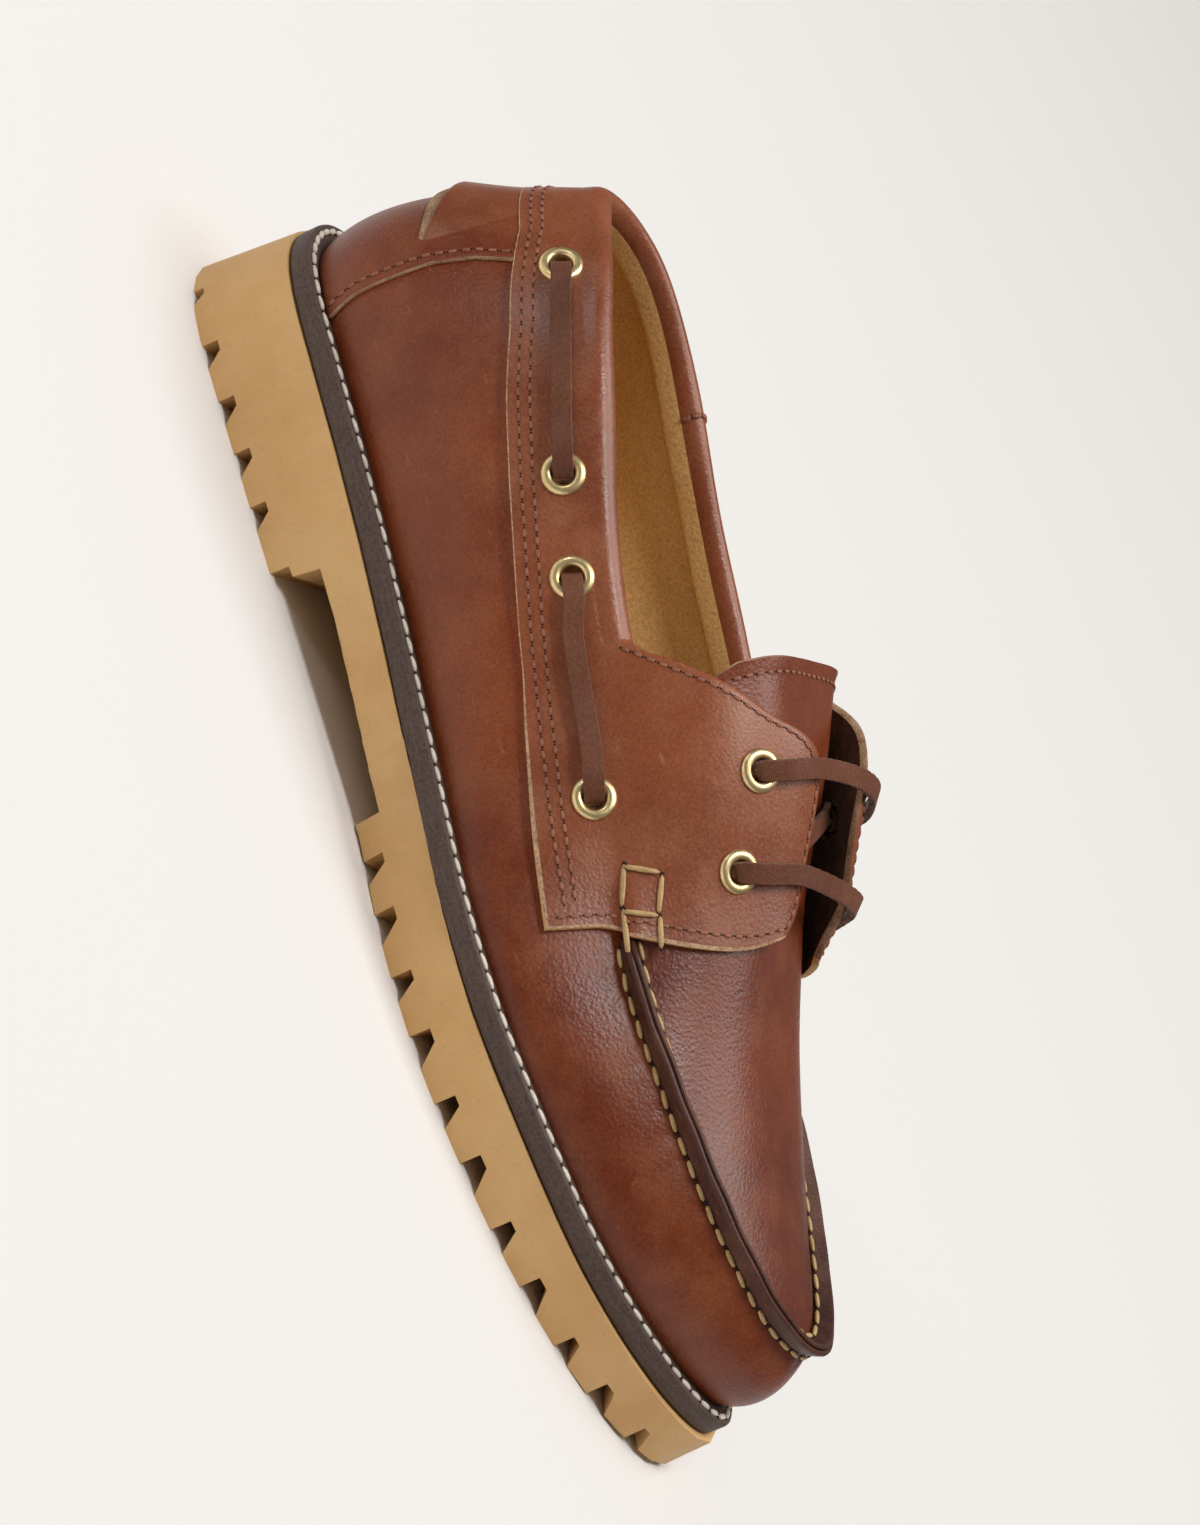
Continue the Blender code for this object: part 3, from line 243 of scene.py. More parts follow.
def form(station, share):
    """The whole form: shares 0 to 1 climb the rib, and 1 to 2 go on over the crown to its middle."""
    station, share = paired(station, share)
    points = wall_point(station, np.minimum(share, 1))
    over = share > 1
    if over.any():
        half = (share[over] - 1) / 2
        across = np.where(station[over] % ROUND < TOE, half, 1 - half)
        points[over] = crown_point(read_rib(station[over])[:, 7], across)
    return points


def normal_of(surface, first, second, step=0.4, climb=0.004):
    """Unit normals of any two-number surface, by differences."""
    along = surface(first + step, second) - surface(first - step, second)
    across = surface(first, second + climb) - surface(first, second - climb)
    return unit(np.cross(along, across))


def world(points):
    """Millimetres on the shoe to metres in the frame."""
    return (np.asarray(points, float) - (*MIDDLE, 0.0)) * 0.001


# %% [markdown]
# ## From a flat hide to a fitted piece
#
# Leather starts as a flat sheet, is cut, and is pulled over the last. The helper below does the same:
# Blender's create_grid makes the flat sheet with a UV map, and each point is moved to where the form says.
# Solidify gives it its thickness and a small Bevel softens the cut edge, whose faces take the second
# material, the raw hide.

# %% Lay a sheet on the form
HOLE = 0.0041           # radius cut out for an eyelet, in metres
CORE = 0.045            # height of the shoe's core, which tells outside from inside, in metres


def mesh_data(name, mesh):
    """Turns a bmesh into plain mesh data."""
    data = bpy.data.meshes.new(name)
    mesh.to_mesh(data)
    mesh.free()
    return data


def new_object(name, data):
    made = bpy.data.objects.new(name, data)
    bpy.context.scene.collection.objects.link(made)
    return made


def finish_mesh(name, mesh, materials, node=None):
    """Turns a bmesh into an object that rides with the shoe and stands for the CAD nodes it replaces."""
    data = mesh_data(name, mesh)
    made = new_object(name, data)
    for material in materials:
        data.materials.append(material)
    data.shade_smooth()
    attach(made, "root")
    if node:
        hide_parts(*([node] if isinstance(node, str) else node))
    return made


def lay(name, along, climb, place, materials, node=None, slot="leather", thickness=0.0, inner=0, inward=False,
        closed=False, holes=(), bevel=0.0):
    """Lays a grid of along x climb faces by place(u, v), which gives millimetre points for shares 0 to 1.

    A thickness is added behind the sheet, and the faces there take material number inner. Sheets look out of
    the shoe unless they are laid inward, and a closed one is joined up where its edges meet.
    """
    mesh = bmesh.new()
    mesh.loops.layers.uv.new("UVMap")
    bmesh.ops.create_grid(mesh, x_segments=along, y_segments=climb, size=0.5, calc_uvs=True)
    flat = np.array([vert.co[:2] for vert in mesh.verts]) + 0.5
    for vert, point in zip(mesh.verts, world(place(flat[:, 0], flat[:, 1]))):
        vert.co = point
    if closed:
        bmesh.ops.remove_doubles(mesh, verts=mesh.verts, dist=2e-5)
    if holes:
        middles = {face: face.calc_center_median() for face in mesh.faces}
        cut = [face for face in middles if any((middles[face] - hole).length < HOLE for hole in holes)]
        bmesh.ops.delete(mesh, geom=cut, context="FACES")
    mesh.normal_update()
    facing = 0.0
    for face in mesh.faces:
        centre = face.calc_center_median()
        core = Vector((centre.x * 0.8, 0.0, CORE))
        facing += face.normal.dot(centre - core) * face.calc_area()
    if (facing < 0) != inward:
        bmesh.ops.reverse_faces(mesh, faces=mesh.faces)
    made = finish_mesh(name, mesh, materials, node)
    if thickness:
        sheet = made.modifiers.new("leather", "SOLIDIFY")
        sheet.thickness = thickness * 0.001
        sheet.material_offset = inner
        sheet.material_offset_rim = 1
    if bevel:
        soft = made.modifiers.new("cut edge", "BEVEL")
        soft.width = bevel * 0.001
        soft.segments = 2
        soft.limit_method = "ANGLE"
        soft.angle_limit = math.radians(50)
    return made


# %% [markdown]
# ## Finishes
#
# Every finish reads Object coordinates, which are metres on the shoe, so grain and pores keep their real size
# on every piece. What several finishes share is a node group: hide_look gives leather its slow pull-up
# variation, its fine speckle, a few scratches and the height of its pores, and fibre_look gives cut edges,
# thread and suede their short fuzz. The groups put out colours and values, and the Principled shader stays in
# each material.

# %% Helpers for node trees
def new_group(name, inputs, outputs):
    """A shader node group with these inputs (name, type) and outputs (name, type)."""
    tree = bpy.data.node_groups.new(name, "ShaderNodeTree")
    for label, kind in inputs:
        tree.interface.new_socket(label, in_out="INPUT", socket_type=f"NodeSocket{kind}")
    for label, kind in outputs:
        tree.interface.new_socket(label, in_out="OUTPUT", socket_type=f"NodeSocket{kind}")
    return tree, tree.nodes.new("NodeGroupInput"), tree.nodes.new("NodeGroupOutput")


def add(tree, kind, settings=None, **sockets):
    """A node with its settings, its sockets given as plain values or as other nodes' outputs."""
    node = tree.nodes.new(f"ShaderNode{kind}")
    for key, value in (settings or {}).items():
        setattr(node, key, value)
    for key, value in sockets.items():
        socket = node.inputs[int(key[1:])] if key[0] == "_" else node.inputs[key.replace("_", " ")]
        if isinstance(value, bpy.types.NodeSocket):
            tree.links.new(value, socket)
        else:
            socket.default_value = value
    return node


def ramp(tree, value, low, high, to_low=0.0, to_high=1.0):
    """Stretches the values between low and high."""
    limits = {"From_Min": low, "From_Max": high, "To_Min": to_low, "To_Max": to_high}
    return add(tree, "MapRange", Value=value, **limits).outputs[0]


def mix(tree, share, first, second, blend="MIX"):
    """A mix of two colours, which the Mix node takes in its sockets 6 and 7."""
    settings = {"data_type": "RGBA", "blend_type": blend}
    return add(tree, "Mix", settings, _0=share, _6=first, _7=second).outputs[2]


def plus(tree, first, second):
    return add(tree, "Math", {"operation": "ADD"}, _0=first, _1=second).outputs[0]


def times(tree, first, second):
    return add(tree, "Math", {"operation": "MULTIPLY"}, _0=first, _1=second).outputs[0]


def noise(tree, where, scale, detail=2.0, rough=0.5):
    return add(tree, "TexNoise", Vector=where, Scale=scale, Detail=detail, Roughness=rough).outputs[0]


def stretched(tree, where, scale, turn=(0.0, 0.0, 0.0)):
    return add(tree, "Mapping", Vector=where, Scale=scale, Rotation=turn).outputs[0]


# %% The shared look of hide
hide_look, given, result = new_group(
    "hide_look",
    [("Base", "Color"), ("Deep", "Color"), ("Pulled", "Color"), ("Pores", "Float"), ("Shine", "Float")],
    [("Color", "Color"), ("Roughness", "Float"), ("Height", "Float")],
)
tree = hide_look
where = add(tree, "TexCoord").outputs["Object"]
slow = ramp(tree, noise(tree, where, 16.0, 3.0), 0.38, 0.66)
cloudy = ramp(tree, noise(tree, where, 75.0, 4.0, 0.6), 0.42, 0.72)
speckle = ramp(tree, noise(tree, where, 1500.0), 0.3, 0.7)
scuffs = noise(tree, stretched(tree, where, (70.0, 900.0, 700.0), (0.3, 0.5, 0.9)), 1.0, 1.0)
scuffs = ramp(tree, scuffs, 0.72, 0.77)
colour = mix(tree, slow, given.outputs["Base"], given.outputs["Deep"])
colour = mix(tree, times(tree, cloudy, 0.30), colour, given.outputs["Pulled"])
colour = mix(tree, times(tree, scuffs, 0.35), colour, given.outputs["Pulled"])
shade = ramp(tree, speckle, 0.0, 1.0, 0.76, 1.12)
grey = add(tree, "CombineColor", Red=shade, Green=shade, Blue=shade).outputs[0]
tree.links.new(mix(tree, 1.0, colour, grey, "MULTIPLY"), result.inputs["Color"])
gloss = plus(tree, given.outputs["Shine"], times(tree, cloudy, 0.10))
tree.links.new(plus(tree, gloss, times(tree, speckle, 0.06)), result.inputs["Roughness"])
smooth_cells = {"feature": "SMOOTH_F1"}
cells = add(tree, "TexVoronoi", smooth_cells, Vector=where, Scale=given.outputs["Pores"], Smoothness=0.6)
pores = plus(tree, times(tree, cells.outputs["Distance"], 0.9), times(tree, speckle, 0.35))
creases = noise(tree, stretched(tree, where, (160.0, 60.0, 420.0), (0.0, 0.4, 0.0)), 1.0, 3.0)
tree.links.new(plus(tree, pores, times(tree, creases, 0.2)), result.inputs["Height"])

# %% The shared look of fibre
fibre_look, given, result = new_group(
    "fibre_look",
    [("Base", "Color"), ("Deep", "Color"), ("Fineness", "Float")],
    [("Color", "Color"), ("Height", "Float")],
)
tree = fibre_look
where = add(tree, "TexCoord").outputs["Object"]
fuzz = noise(tree, where, given.outputs["Fineness"], 3.0, 0.7)
dark = ramp(tree, plus(tree, fuzz, times(tree, noise(tree, where, 240.0), 0.6)), 0.62, 1.0)
tree.links.new(mix(tree, dark, given.outputs["Base"], given.outputs["Deep"]), result.inputs["Color"])
tree.links.new(fuzz, result.inputs["Height"])

# %% Materials from the two looks
def plain_material(name, roughness=0.5, **sockets):
    made = bpy.data.materials.new(name)
    made.use_nodes = True
    shader = made.node_tree.nodes["Principled BSDF"]
    for key, value in {"Roughness": roughness, **sockets}.items():
        shader.inputs[key.replace("_", " ")].default_value = value
    return made, made.node_tree, shader


def bump(tree, shader, height, depth):
    """Lets a height from 0 to 1 stand this many millimetres high."""
    node = add(tree, "Bump", Height=height, Distance=depth * 0.001)
    tree.links.new(node.outputs[0], shader.inputs["Normal"])


def dressed(name, look, values, depth, roughness=0.5, **sockets):
    """A material with one of the shared looks; colours are given as red, green and blue."""
    made, tree, shader = plain_material(name, roughness, **sockets)
    group = add(tree, "Group", {"node_tree": look})
    for key, value in values.items():
        group.inputs[key].default_value = (*value, 1) if isinstance(value, tuple) else value
    tree.links.new(group.outputs["Color"], shader.inputs["Base Color"])
    if "Roughness" in group.outputs:
        tree.links.new(group.outputs["Roughness"], shader.inputs["Roughness"])
    bump(tree, shader, group.outputs["Height"], depth)
    return made


def hide(name, base, deep, pulled, pores=1100.0, shine=0.42, depth=0.08, gleam=0.5):
    values = {"Base": base, "Deep": deep, "Pulled": pulled, "Pores": pores, "Shine": shine}
    return dressed(name, hide_look, values, depth, Specular_IOR_Level=gleam)


def fibre(name, base, deep, fineness=1800.0, depth=0.15, roughness=0.9):
    return dressed(name, fibre_look, {"Base": base, "Deep": deep, "Fineness": fineness}, depth, roughness)


# each hide's colour, its darker parts, and the paler colour where it is pulled or scratched; some of them
# also hold painted light or shade, as noted
RED_HIDE = (0.255, 0.052, 0.011), (0.155, 0.024, 0.005), (0.39, 0.130, 0.050)
# the apron's hide is the chestnut made darker as painted shade, for the shade on the apron over the toes
SHADED_APRON_HIDE = (0.195, 0.034, 0.007), (0.110, 0.016, 0.003), (0.32, 0.095, 0.033)
# the saddle's hide is the chestnut made paler and pinker as painted sheen, for the grazing sheen on the flaps
# and collar
SHEEN_SADDLE_HIDE = (0.290, 0.076, 0.026), (0.180, 0.040, 0.012), (0.45, 0.175, 0.085)
SEAM_HIDE = (0.100, 0.029, 0.014), (0.048, 0.013, 0.007), (0.27, 0.12, 0.075)
LACE_HIDE = (0.175, 0.060, 0.030), (0.105, 0.033, 0.016), (0.26, 0.12, 0.08)
# the sock's and the lining's tans are made paler than the hide's own as painted light, for the light that
# falls into the shoe
LIT_SOCK_HIDE = (0.70, 0.42, 0.16), (0.62, 0.34, 0.115), (0.78, 0.52, 0.25)
LIT_LINING_HIDE = (0.86, 0.55, 0.22), (0.74, 0.42, 0.14), (0.88, 0.60, 0.30)
chestnut = hide("chestnut_leather", *RED_HIDE, shine=0.32, gleam=0.42)
shaded_apron_hide = hide("apron_leather_painted_shade", *SHADED_APRON_HIDE, shine=0.31)
sheen_saddle_hide = hide("saddle_leather_painted_sheen", *SHEEN_SADDLE_HIDE, shine=0.30, depth=0.055)
seam_hide = hide("folded_leather", *SEAM_HIDE, shine=0.45, gleam=0.35)
lace_hide = hide("lace_leather", *LACE_HIDE, pores=1500.0, shine=0.50, gleam=0.3)
lit_sock_hide = hide("sock_leather", *LIT_SOCK_HIDE, pores=900.0, shine=0.55, depth=0.12)
lit_lining_hide = hide("lining_leather_painted_light", *LIT_LINING_HIDE, pores=900.0, shine=0.6, depth=0.10)
raw_edge = fibre("raw_edge", (0.62, 0.42, 0.26), (0.26, 0.12, 0.06))
brown_edge = fibre("brown_edge", (0.34, 0.16, 0.09), (0.13, 0.05, 0.03))
lace_edge = fibre("lace_edge", (0.30, 0.17, 0.12), (0.05, 0.022, 0.016), 2200.0)
suede = fibre("suede", (0.50, 0.33, 0.19), (0.22, 0.11, 0.055), 1500.0, 0.3)
# the flesh side's dark is partly the suede's own colour and partly painted shade under the flaps
flesh_side_and_shade = fibre("flesh_side_and_shade", (0.16, 0.085, 0.05), (0.07, 0.035, 0.02), 1500.0, 0.3)
heel_grip = fibre("heel_grip", (0.09, 0.06, 0.045), (0.04, 0.025, 0.02), 1500.0)
brown_thread = fibre("brown_thread", (0.36, 0.135, 0.070), (0.20, 0.065, 0.032), 2600.0, 0.06, 0.6)
waxed_thread = fibre("waxed_thread", (0.62, 0.43, 0.19), (0.40, 0.24, 0.09), 2600.0, 0.08, 0.5)
white_thread = fibre("white_thread", (0.84, 0.78, 0.68), (0.60, 0.52, 0.42), 2600.0, 0.08, 0.6)
# painted shade: a near-black finish for the discs and dots that stand for the shade down eyelets, punched
# holes and needle holes
painted_shade = plain_material("painted_shade", 0.95, Base_Color=(0.022, 0.008, 0.004, 1))[0]
print("materials:", len(bpy.data.materials))

# %% [markdown]
# ### Rubber, welt and brass
#
# Gum rubber is matt, with faint clouds of a deeper orange and tiny specks in it. The welt is dark board with
# a brushed, pebbled side. Brass eyelets are polished but a little worn, so their colour and roughness vary
# with a slow noise, and their bump is only a few hundredths of a millimetre.

# %% Rubber, welt and brass
gum, tree, shader = plain_material("gum_rubber", 0.62, Specular_IOR_Level=0.35)
where = add(tree, "TexCoord").outputs["Object"]
cloud = ramp(tree, noise(tree, where, 45.0, 4.0, 0.6), 0.35, 0.7)
specks = ramp(tree, noise(tree, where, 900.0, 2.0), 0.62, 0.72)
colour = mix(tree, cloud, (0.72, 0.445, 0.195, 1), (0.64, 0.365, 0.140, 1))
colour = mix(tree, times(tree, specks, 0.25), colour, (0.45, 0.24, 0.09, 1))
tree.links.new(colour, shader.inputs["Base Color"])
bump(tree, shader, noise(tree, where, 700.0, 3.0), 0.06)

welt_board, tree, shader = plain_material("welt_board", 0.6, Specular_IOR_Level=0.4)
where = add(tree, "TexCoord").outputs["Object"]
pebble = noise(tree, where, 1300.0, 3.0, 0.6)
brushed = noise(tree, stretched(tree, where, (120.0, 120.0, 1600.0)), 1.0, 3.0)
colour = mix(tree, ramp(tree, pebble, 0.35, 0.7), (0.105, 0.066, 0.052, 1), (0.050, 0.028, 0.022, 1))
colour = mix(tree, ramp(tree, brushed, 0.45, 0.75, 0.0, 0.4), colour, (0.15, 0.10, 0.08, 1))
tree.links.new(colour, shader.inputs["Base Color"])
bump(tree, shader, plus(tree, pebble, brushed), 0.12)

brass, tree, shader = plain_material("brass", 0.25, Metallic=1.0)
where = add(tree, "TexCoord").outputs["Object"]
wear = noise(tree, where, 600.0, 3.0)
colour = mix(tree, ramp(tree, wear, 0.35, 0.7), (0.86, 0.69, 0.38, 1), (0.72, 0.54, 0.25, 1))
tree.links.new(colour, shader.inputs["Base Color"])
tree.links.new(ramp(tree, wear, 0.3, 0.7, 0.28, 0.44), shader.inputs["Roughness"])
bump(tree, shader, wear, 0.03)

# %% [markdown]
# ## The wall of the upper
#
# The wall is one long piece of hide from heel to heel. Where it is gathered into the apron seam it puckers:
# short ridges run down from the seam and die out within about a centimetre. The relief below adds those
# puckers and a soft unevenness everywhere. The wall's inner faces carry the lining's finish.

# %% Relief of the wall
SEAM_ENDS = (float(station_at(199.5, "lateral")), float(station_at(197.0, "medial")) + ROUND)
PUCKER_FADE = 18.0      # how far past the seam's ends the puckers die out
RIB = 60.0              # about how long a rib is, to read its shares as millimetres
LOW, HIGH = 0.01, 0.985     # shares between which the form is smooth enough for normals


def bell(distance, width):
    return np.exp(-(distance / width) ** 2)


def waves(first, second, seed, size):
    """A gentle, repeatable unevenness between about -1 and 1."""
    dice = random.Random(seed)
    total = np.zeros(np.broadcast(first, second).shape)
    for _ in range(5):
        sway = first / size * dice.uniform(0.6, 1.6) + second / size * dice.uniform(-1.5, 1.5)
        total += np.sin(sway + dice.uniform(0, 6.3))
    return total / 3


def ease(value, start, end):
    """0 before start, 1 past end and smooth between."""
    part = np.clip((value - start) / (end - start), 0, 1)
    return part * part * (3 - 2 * part)


def wall_relief(station, share):
    around = station % ROUND
    past = np.maximum(SEAM_ENDS[0] - around, around - SEAM_ENDS[1])
    near = np.clip(1 - past / PUCKER_FADE, 0, 1)
    beat = np.sin(around * math.tau / 6.6 + 1.1 * np.sin(around / 13))
    beat += 0.6 * np.sin(around * math.tau / 9.7 + 2)
    pucker = 0.22 * beat * near * bell(1 - share, 0.17)
    uneven = 0.22 * waves(around, share * RIB, 5, 13.0)
    return (pucker + uneven) * np.clip(share * 6, 0, 1)


def wall_place(u, v):
    station, share = u * ROUND, v * 1.02 - 0.02
    points = form(station, np.maximum(share, 0))
    points[:, 2] += np.minimum(share, 0) * RIB
    return points + normal_of(form, station, np.clip(share, LOW, HIGH)) * wall_relief(station, share)[:, None]


materials = [chestnut, raw_edge, lit_lining_hide]
wall = lay("wall", 540, 46, wall_place, materials, "upper", thickness=1.9, inner=2, closed=True)
print("wall points:", len(wall.data.vertices))

# %% [markdown]
# ## Apron and tongue
#
# The apron over the toes and the tongue are cut in one: the tongue runs back under the lace flaps and ends in
# a raw, pale edge with one row of stitches. The crown gives its arch. Toward the tongue's end the sheet
# narrows and lifts off the foot a little, as a tongue does when the shoe is empty.

# %% Apron and tongue
TONGUE = (
    # x, across the crown from, to, height above the crown
    (142.8, 0.12, 0.85, 2.2),
    (145.4, 0.08, 0.89, 1.2),
    (154.0, 0.06, 0.93, 0.4),
    (168.0, 0.05, 0.95, 0.0),
    (178.0, 0.03, 0.97, 0.0),
    (184.0, 0.00, 1.00, 0.0),
)
TONGUE_END = TONGUE[0][0]
TONGUE_CORNER = 5.1     # radius of the tongue's corners along the shoe
APRON_LENGTH = float(read_rib(TOE)[0, 7]) - 0.15 - TONGUE_END


def apron_place(u, v):
    x = TONGUE_END + APRON_LENGTH * np.sin(u * math.pi / 2) ** 0.9
    start, end, lift = (look_up(TONGUE, x, column) for column in (1, 2, 3))
    corner = np.clip(1 - (x - TONGUE_END) / TONGUE_CORNER, 0, 1) ** 2 * 0.03
    across = start + corner + (end - start - 2 * corner) * (1 - np.cos(v * math.pi)) / 2
    away = normal_of(crown_point, x, np.clip(across, 0.01, 0.99))
    ripple = 0.16 * waves(x, across * RIB, 11, 15.0) * np.clip(4 * across * (1 - across), 0, 1)
    return crown_point(x, across) + away * (lift + ripple - 0.1)[:, None]


# the apron's darker hide is painted shade
materials = [shaded_apron_hide, raw_edge, suede]
apron = lay("apron", 150, 60, apron_place, materials, "tongue", thickness=1.9, inner=2, bevel=0.25)
print("apron points:", len(apron.data.vertices))

# %% [markdown]
# ## The saddle and the collar
#
# One strap of hide wraps the heel, rises over the instep as two lace flaps, and rolls over the top line to
# make the padded collar. Along its lower edge the flat part follows a drawn line; at the top it leaves the
# wall, swells outward, turns over and dips inside. On the flaps there is no roll, and the raw edge shows. So
# the sheet's width is shared in two: a flat part, and a part that is the roll round the heel and the last
# millimetres of a flap.

# %% Lines of the saddle
SADDLE_LOW = (
    # rim x, height of the lower edge
    (0.0, 78.8), (18.0, 78.8), (30.0, 76.7), (49.0, 72.6), (66.0, 66.9), (84.0, 61.7), (101.0, 57.2),
    (120.0, 52.2), (143.0, 46.8), (163.0, 42.8), (180.0, 39.8), (192.0, 37.6),
)
FLAPS = {
    # rim x and share along each lace flap's inner edge, from the collar's notch, and down its front edge
    "lateral": (
        (131.0, 1.03), (143.0, 1.15), (150.0, 1.26), (159.0, 1.45), (165.0, 1.72), (171.0, 1.84),
        (181.0, 1.86), (192.0, 1.85), (200.0, 1.81), (206.8, 1.70), (209.2, 1.45), (207.2, 1.24),
        (203.8, 1.11), (198.4, 0.97), (193.4, 0.70), (189.6, 0.44),
    ),
    "medial": (
        (131.0, 1.06), (142.0, 1.20), (150.0, 1.36), (157.0, 1.50), (163.0, 1.58), (170.0, 1.66),
        (179.0, 1.67), (189.0, 1.62), (198.0, 1.58), (203.5, 1.52), (204.5, 1.34), (202.5, 1.18),
        (200.0, 1.10), (196.0, 0.97), (193.0, 0.70), (191.0, 0.44),
    ),
}
FLAP_LIFT = {"lateral": (4.5, 1.35, 1.85), "medial": (9.0, 1.10, 1.66)}     # height, from and to which share
FLAP_SETTLE = (188.0, 206.0, 0.25)      # rim x from and to, and the part of the inner lift left in front
INNER_ROWS = 9          # how many steps of an outline lie along the inner edge
SKIN = 1.95             # the saddle's outer face above the form
ROLL = (
    # outward and up from the top line
    (1.9, 0.2), (1.35, 2.0), (0.6, 3.8), (-0.8, 5.2), (-2.8, 5.9),
    (-4.6, 5.3), (-5.6, 3.6), (-5.9, 1.6), (-5.7, -0.9), (-5.2, -3.6),
)

edge_stations = np.arange(-330.0, 240.0, 1.5)
shares = np.linspace(0, 1, 101)
edge_shares, edge_rates = [], []
for station in edge_stations:
    rib = wall_point(np.full(101, station), shares)
    edge_shares.append(np.interp(look_up(SADDLE_LOW, abs(read_rib(station)[0, 0])), rib[:, 2], shares))
    upper_steps = np.linalg.norm(np.diff(rib, axis=0), axis=1)[60:]
    edge_rates.append(upper_steps.mean() * 100)


def low_share(station, above=0.0):
    """Share of the saddle's lower edge, or of a line this many millimetres above it."""
    share, rate = (np.interp(station, edge_stations, column) for column in (edge_shares, edge_rates))
    return share + above / rate


def lengths_along(points):
    """How far along a path each of its points is."""
    return np.concatenate(([0], np.cumsum(np.linalg.norm(np.diff(points, axis=0), axis=1))))


def read_rows(where, knots, rows):
    """Rows of numbers, read straight between the knots."""
    return np.stack([np.interp(where, knots, column) for column in np.array(rows).T], axis=-1)


def curve_of(rows):
    """A smooth curve through rows of (station, share), read by a share of its length."""
    rows = np.array(rows, float)
    lengths = lengths_along(rows * (1, RIB))
    fine = np.linspace(0, 1, 161)
    table = spline(lengths / lengths[-1], rows)(fine)
    return lambda part: read_rows(part, fine, table)


flap_edges = {}
for side, rows in FLAPS.items():
    rows = [(float(station_at(x, side)), share) for x, share in rows]
    flap_edges[side] = curve_of(rows[: INNER_ROWS + 1]), curve_of(rows[INNER_ROWS:][::-1])


def flap_spot(side, row, column):
    """Station and share on a flap: rows run from notch (0) to front (1), columns up to the inner edge (1)."""
    inner, front = flap_edges[side]
    row, column = paired(row, column)
    start, end = inner([0.0])[0], front([0.0])[0]
    station = start[0] + (end[0] - start[0]) * row
    base = np.column_stack((station, low_share(station)))
    root = low_share(start[0])
    rear = np.column_stack((np.full(len(row), start[0]), root + (start[1] - root) * column))
    across, along = column[:, None], row[:, None]
    rear_corners = (1 - across) * (start[0], root) + across * start
    front_corners = (1 - across) * (end[0], low_share(end[0])) + across * inner([1.0])[0]
    sides = (1 - across) * base + across * inner(row) + (1 - along) * rear + along * front(column)
    return sides - (1 - along) * rear_corners - along * front_corners


def saddle_lift(station, share):
    outer, inner = (height * ease(share, start, end) for height, start, end in FLAP_LIFT.values())
    start, end, left = FLAP_SETTLE
    settle = 1 - (1 - left) * ease(read_rib(station)[:, 0], start, end)
    return np.where(station % ROUND < TOE, outer, inner * settle)


def saddle_relief(station, share):
    """The seam below the saddle's front shows as a ridge, and the hide is never quite even."""
    x = read_rib(station)[:, 0]
    ridge = 1.5 * bell(share - 1.0, 0.06) * np.clip((x - 176) / 16, 0, 1)
    return ridge + 0.20 * waves(station, share * RIB, 7, 12.0)


def on_saddle(station, share, above=0.0, facing=None):
    """A point above the saddle's outer face, offset the way the form faces there or at another share."""
    away = normal_of(form, station, share if facing is None else facing, 1.2, 0.03)
    skin = SKIN + saddle_lift(station, share) + saddle_relief(station, share)
    return form(station, share) + away * (skin + above)[:, None]


def band_point(station, share):
    """On the saddle round the heel, where the offset keeps one direction near the top line's inward turn."""
    steady = np.clip((150 - abs(station)) / 40, 0, 1)
    return on_saddle(station, share, facing=share - steady * np.clip(share - 0.88, 0, None))


def collar_point(station, turn):
    """The rolled collar: turn 0 where it leaves the saddle, 1 under the lining."""
    top, flat = form(station, 1.0), outward(station)
    start = band_point(station, np.full(len(station), HIGH)) - top
    begin = np.column_stack(((start * flat).sum(axis=1), start[:, 2]))
    section = spline(np.linspace(0, 1, len(ROLL)), ROLL)(turn)
    section += (begin - ROLL[0]) * ((1 - turn) ** 4)[:, None]
    section *= 1 + 0.035 * waves(station, turn * 8, 3, 9.0)[:, None]
    return top + flat * section[:, :1] + section[:, 1:] * (0, 0, 1)


# %% The saddle with its collar
FLAP_PART = 0.17        # share of the strap's length that each flap takes
FLAT_PART = 0.70        # share of its width below the roll
ROW_SHARE = 0.95        # where a flap's last millimetres begin
BLEND = 0.09            # share of a flap over which the roll runs out
NOTCHES = [flap_edges[side][0]([0.0])[0, 0] for side in ("medial", "lateral")]      # where the flaps begin


def saddle_place(u, v):
    """The strap from the inner flap's front (u 0) round the heel to the outer flap's front (u 1)."""
    flat, turn = np.minimum(v / FLAT_PART, 1), np.clip((v - FLAT_PART) / (1 - FLAT_PART), 0, 1)
    station = NOTCHES[0] + (NOTCHES[1] - NOTCHES[0]) * np.clip((u - FLAP_PART) / (1 - 2 * FLAP_PART), 0, 1)
    low = low_share(station)
    band = band_point(station, low + (HIGH - low) * flat)
    points = np.where((turn > 0)[:, None], collar_point(station, turn), band)
    for side, row in (("medial", (FLAP_PART - u) / FLAP_PART), ("lateral", (u - 1 + FLAP_PART) / FLAP_PART)):
        here = row > 0
        spot = flap_spot(side, np.clip(row, 0, 1), flat * ROW_SHARE + turn * (1 - ROW_SHARE))
        flap = on_saddle(*spot.T) - normal_of(form, *spot.T) * (0.5 * turn**3)[:, None]
        blend = ease(row, 0, BLEND)[:, None]
        points[here] = (points * (1 - blend) + flap * blend)[here]
    return points


# %% [markdown]
# ## Eyelets
#
# Each eyelet is a brass ring pressed through the leather: a domed flange, and a short barrel down into the
# hole. Spinning its half section round the Z axis makes the ring. The saddle is laid with the holes already
# cut, so that the lace can dive into a real opening, and a small dark disc of painted shade lies down in each
# barrel, where the hole would be in shade.

